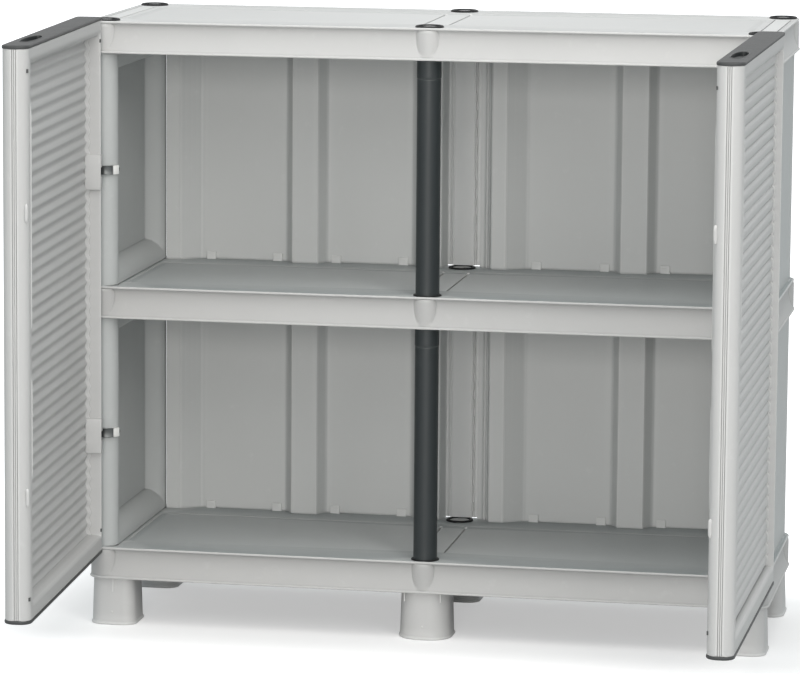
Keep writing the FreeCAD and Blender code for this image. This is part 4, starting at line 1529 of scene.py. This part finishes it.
    def build(self) -> None:
        """Makes every piece of the door."""
        for face in Face:
            self.shell(face)
        for end in End:
            self.cap(end)
        for tier in Tier:
            self.block(tier)
            self.pin(tier)


@dataclass
class HingeArm:
    """The steel arm from a hinge pin round the front of the post, with its white collar on the post."""

    side: Side
    tier: Tier
    finishes: Finishes
    hinge: tuple[float, float] = HINGE
    axis: float = SOCKET_X
    knuckle: float = 6.0
    half_high: float = 6.5
    strap: float = 3.2
    post: float = POST_RADIUS

    def around_post(self, radius: float, start: float, stop: float) -> Array:
        """Plan points on a circle round the post's middle.

        Args:
            radius: Radius.
            start: First angle in degrees from straight forwards, + towards the opening.
            stop: Last angle.

        Returns:
            Points (n, 2) in the cabinet's plan: the middle plus the radius times the sine inwards and the
            cosine forwards.
        """
        angle = np.radians(np.linspace(start, stop, 14))
        sign = self.side.value
        x = sign * self.axis - sign * radius * np.sin(angle)
        return np.stack([x, -radius * np.cos(angle)], -1)

    def slab(self, plan: Array, half: float, ease: float) -> Skin:
        """Raises a plan outline to both sides of the hinge's height, with eased edges.

        Args:
            plan: Closed outline (n, 2).
            half: Half its height.
            ease: Size of the eased edge.

        Returns:
            The surface.
        """
        turning = np.roll(plan, -1, axis=0)
        area = (plan[:, 0] * turning[:, 1] - turning[:, 0] * plan[:, 1]).sum()
        if area < 0:
            plan = plan[::-1]
        rows = [(3.0 * ease, -half), (ease, -half), (0.3 * ease, -half + 0.3 * ease), (0.0, -half + ease)]
        rows += [(amount, -z) for amount, z in rows[::-1]]
        skin = Skin()
        skin.stack(contour(plan, rows, self.tier.hinge))
        return skin

    def build(self) -> None:
        """Makes the arm, a knuckle with a flat strap bent round the post, and the collar over its end."""
        sign = self.side.value
        pin = np.array([sign * self.hinge[0], self.hinge[1]])
        outer = self.around_post(self.post + self.strap, -28.0, 44.0)
        inner = self.around_post(self.post - 0.3, 44.0, -40.0)
        toward = outer[0] - pin
        start = math.degrees(math.atan2(toward[1], toward[0]))
        turn = np.radians(start + sign * np.linspace(38.0, 322.0, 26))
        eye = pin + self.knuckle * np.stack([np.cos(turn), np.sin(turn)], -1)
        arm = self.slab(np.concatenate([outer, inner, eye]), self.half_high, 0.45)
        settle(arm, label("hinge_arm", self.side, self.tier), self.finishes.steel, "steel")
        outer = self.around_post(self.post + self.strap + 1.0, 42.0, 72.0)
        inner = self.around_post(self.post - 0.4, 76.0, 40.0)
        collar = self.slab(np.concatenate([outer, inner]), self.half_high + 0.1, 0.6)
        name = label("hinge_collar", self.side, self.tier)
        settle(collar, name, self.finishes.white, "white_plastic")


@dataclass
class HingeScrews:
    """The four screws through the inner sides of the front posts."""

    finish: bpy.types.Material
    seat: float = SOCKET_X - POST_RADIUS

    def build(self) -> None:
        """Makes each domed head with a sunk ring and its shank, turned from a profile and laid along X."""
        whole = Skin()
        profile = [(1.6, -12.0), (1.8, -11.0), (1.8, -0.2), (3.6, 0.0), (3.6, 0.9)]
        profile += [(3.2, 1.7), (2.4, 2.2), (1.6, 2.3), (1.3, 1.5), (0.4, 1.4)]
        for side in Side:
            axes = np.array([(0.0, 1.0, 0.0), (0.0, 0.0, 1.0), (-side.value, 0.0, 0.0)])
            for tier in Tier:
                skin = Skin()
                skin.lathe(profile, count=24)
                whole.join(skin.turned(np.array([side.value * self.seat, 0.0, tier.hinge]), axes))
        settle(whole, "hinge_screws", self.finish, "steel")


# Studio

@dataclass(frozen=True)
class Lamp:
    """A square soft lamp aimed at the cabinet, in metres; green lies halfway between its blue part and 1."""

    name: str
    place: tuple[float, float, float]
    size: float
    watts: float
    blue: float = 0.93
    aim: tuple[float, float, float] = (0.0, 0.1, 0.45)

    def hang(self) -> None:
        """Adds the lamp to the scene."""
        data = bpy.data.lights.new(self.name, "AREA")
        data.shape = "SQUARE"
        data.size = self.size
        data.energy = self.watts
        data.color = (1.0, 0.5 + self.blue / 2, self.blue)
        lamp = bpy.data.objects.new(self.name, data)
        lamp.location = self.place
        towards = Vector(self.aim) - Vector(self.place)
        lamp.rotation_euler = towards.to_track_quat("-Z", "Y").to_euler()
        bpy.context.collection.objects.link(lamp)


@dataclass
class Studio:
    """A white floor and background, soft lamps and the camera of the photograph."""

    place: tuple[float, float, float] = (1.0997, -6.1619, 1.4206)   # camera, metres
    pitch: float = 0.1389                                           # radians
    yaw: float = 0.1981
    roll: float = 0.00567
    focal_px: float = 4301.9
    principal: tuple[float, float] = (336.0, 273.0)
    frame_px: tuple[int, int] = (800, 674)
    floor_half: float = 30000.0                                     # millimetres
    floor_glow: float = 0.42                                        # weaker glow under the cabinet: a painted shadow there
    glow_middle: float = 0.14                                       # its middle, behind the front posts
    glow_half: tuple[float, float, float] = (0.54, 0.19, 0.0)       # half its width and depth
    glow_fade: float = 0.24                                         # from there to full white
    room: tuple[float, float] = (0.30, 0.88)                        # grey below and above
    tint: tuple[float, float, float] = (0.915, 0.98, 1.005)
    lamps: tuple[Lamp, ...] = (
        Lamp("front", (0.6, -9.0, 2.0), 2.2, 238.0),
        Lamp("high", (0.3, -1.6, 3.6), 2.0, 42.0),
        Lamp("key", (2.8, -3.6, 3.0), 1.8, 47.0, 0.92),
    )

    def camera(self) -> None:
        """Stands the camera at the photograph's viewpoint."""
        wide, high = self.frame_px
        data = bpy.data.cameras.new("camera")
        data.sensor_width = 36.0
        data.lens = self.focal_px * 36.0 / wide
        data.shift_x = (wide / 2 - self.principal[0]) / wide
        data.shift_y = (self.principal[1] - high / 2) / wide
        data.clip_end = 100.0
        camera = bpy.data.objects.new("camera", data)
        camera.location = self.place
        turned = Matrix.Rotation(self.yaw, 3, "Z") @ Matrix.Rotation(math.pi / 2 - self.pitch, 3, "X")
        camera.rotation_euler = (turned @ Matrix.Rotation(self.roll, 3, "Z")).to_euler()
        bpy.context.collection.objects.link(camera)
        bpy.context.scene.camera = camera

    def floor(self) -> None:
        """Lays a wide pale floor: it glows white to the camera, and less so within a box round the cabinet:
        a painted shadow, within which the lamps' real shadow shows.

        The glow rises smoothly with the distance past the box, the length of what is left of the place's
        absolute value after the box's half sizes are taken off.
        """
        graph = Coat("floor")
        graph.shader.inputs["Base Color"].default_value = (0.62, 0.62, 0.62, 1.0)
        graph.shader.inputs["Roughness"].default_value = 0.9
        graph.shader.inputs["Specular IOR Level"].default_value = 0.0
        graph.shader.inputs["Emission Strength"].default_value = 1.0
        seen = graph.node("ShaderNodeLightPath")
        camera = Wire(graph, seen.outputs["Is Camera Ray"])
        moved = {"Vector": graph.place, "Location": (0.0, -self.glow_middle, 0.0)}
        away = graph.node("ShaderNodeMapping", inputs=moved).outputs[0]
        steps = (("ABSOLUTE", {}), ("SUBTRACT", {1: self.glow_half}), ("MAXIMUM", {1: (0.0, 0.0, 0.0)}))
        for operation, amount in steps:
            made = graph.node("ShaderNodeVectorMath", {"operation": operation}, {0: away, **amount})
            away = made.outputs[0]
        away = graph.node("ShaderNodeVectorMath", {"operation": "LENGTH"}, {0: away}).outputs["Value"]
        limits = {"Value": away, "From Min": 0.0, "From Max": self.glow_fade}
        spread = graph.node("ShaderNodeMapRange", {"interpolation_type": "SMOOTHSTEP"}, limits)
        strength = Wire(graph, spread.outputs[0]) * (1.0 - self.floor_glow) + self.floor_glow
        graph.feed(graph.shader.inputs["Emission Color"], camera * strength)
        wide = self.floor_half
        corners = [[(x, y, 0.0) for x in (-wide, wide)] for y in (-wide, wide)]
        skin = Skin()
        skin.grid(np.array(corners))
        skin.make("floor", graph.material, 32.0)

    def world(self) -> None:
        """Gives the room a pale light, stronger from above, with the background white to the camera."""
        world = bpy.data.worlds.new("world")
        bpy.context.scene.world = world
        graph = Graph(world)
        path = graph.node("ShaderNodeLightPath")
        rays = {0: path.outputs["Is Camera Ray"], 1: path.outputs["Is Glossy Ray"]}
        either = graph.node("ShaderNodeMath", {"operation": "MAXIMUM"}, rays)
        looking = graph.node("ShaderNodeTexCoord").outputs["Generated"]
        upward = graph.node("ShaderNodeSeparateXYZ", inputs={0: looking}).outputs["Z"]
        limits = {"Value": upward, "From Min": -0.1, "From Max": 0.9}
        climb = graph.node("ShaderNodeMapRange", inputs=limits)
        low, high = ((*(grey * part for part in self.tint), 1.0) for grey in self.room)
        room = graph.node("ShaderNodeBackground", inputs={"Color": graph.mix(climb.outputs[0], low, high)})
        seen = graph.node("ShaderNodeBackground", inputs={"Color": (1.0, 1.0, 1.0, 1.0), "Strength": 1.0})
        shaders = {0: either.outputs[0], 1: room.outputs[0], 2: seen.outputs[0]}
        mixed = graph.node("ShaderNodeMixShader", inputs=shaders)
        graph.node("ShaderNodeOutputWorld", inputs={"Surface": mixed.outputs[0]})

    def build(self) -> None:
        """Sets the whole studio."""
        self.camera()
        self.floor()
        self.world()
        for lamp in self.lamps:
            lamp.hang()
        bpy.context.scene.view_settings.view_transform = "Standard"


def main() -> None:
    """Builds every sub-assembly in order and reports each piece."""
    logging.basicConfig(level=logging.INFO, format="%(name)s %(message)s")
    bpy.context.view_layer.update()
    finishes = Finishes()
    # The two lower decks take the darker copy of the shelf plastic: painted shade.
    ShelfPanel("base_panel", Tier.LOWER.value, finishes.shaded_shelf).build()
    ShelfPanel("middle_shelf", Tier.UPPER.value, finishes.shaded_shelf).build()
    ShelfPanel("top_panel", TOP_DECK, finishes.shelf).build()
    for row in Row:
        for place in Place:
            Foot(row, place, finishes.foot).build()
    backs = []
    for tier in Tier:
        for side in Side:
            SidePanel(side, tier, finishes.panel).build()
            backs.append(BackPanel(side, tier, finishes.panel))
            backs[-1].build()
        BackJoint(tier, finishes.strip).build()
        Column(tier, finishes.column).build()
    fittings = SmallFittings(finishes)
    fittings.clips(backs)
    fittings.rings()
    fittings.column_rings()
    for side, angle in ((Side.LEFT, 87.0), (Side.RIGHT, 89.5)):
        Door(side, finishes, angle).build()
        for tier in Tier:
            HingeArm(side, tier, finishes).build()
    HingeScrews(finishes.steel).build()
    Studio().build()


if __name__ == "__main__":
    main()
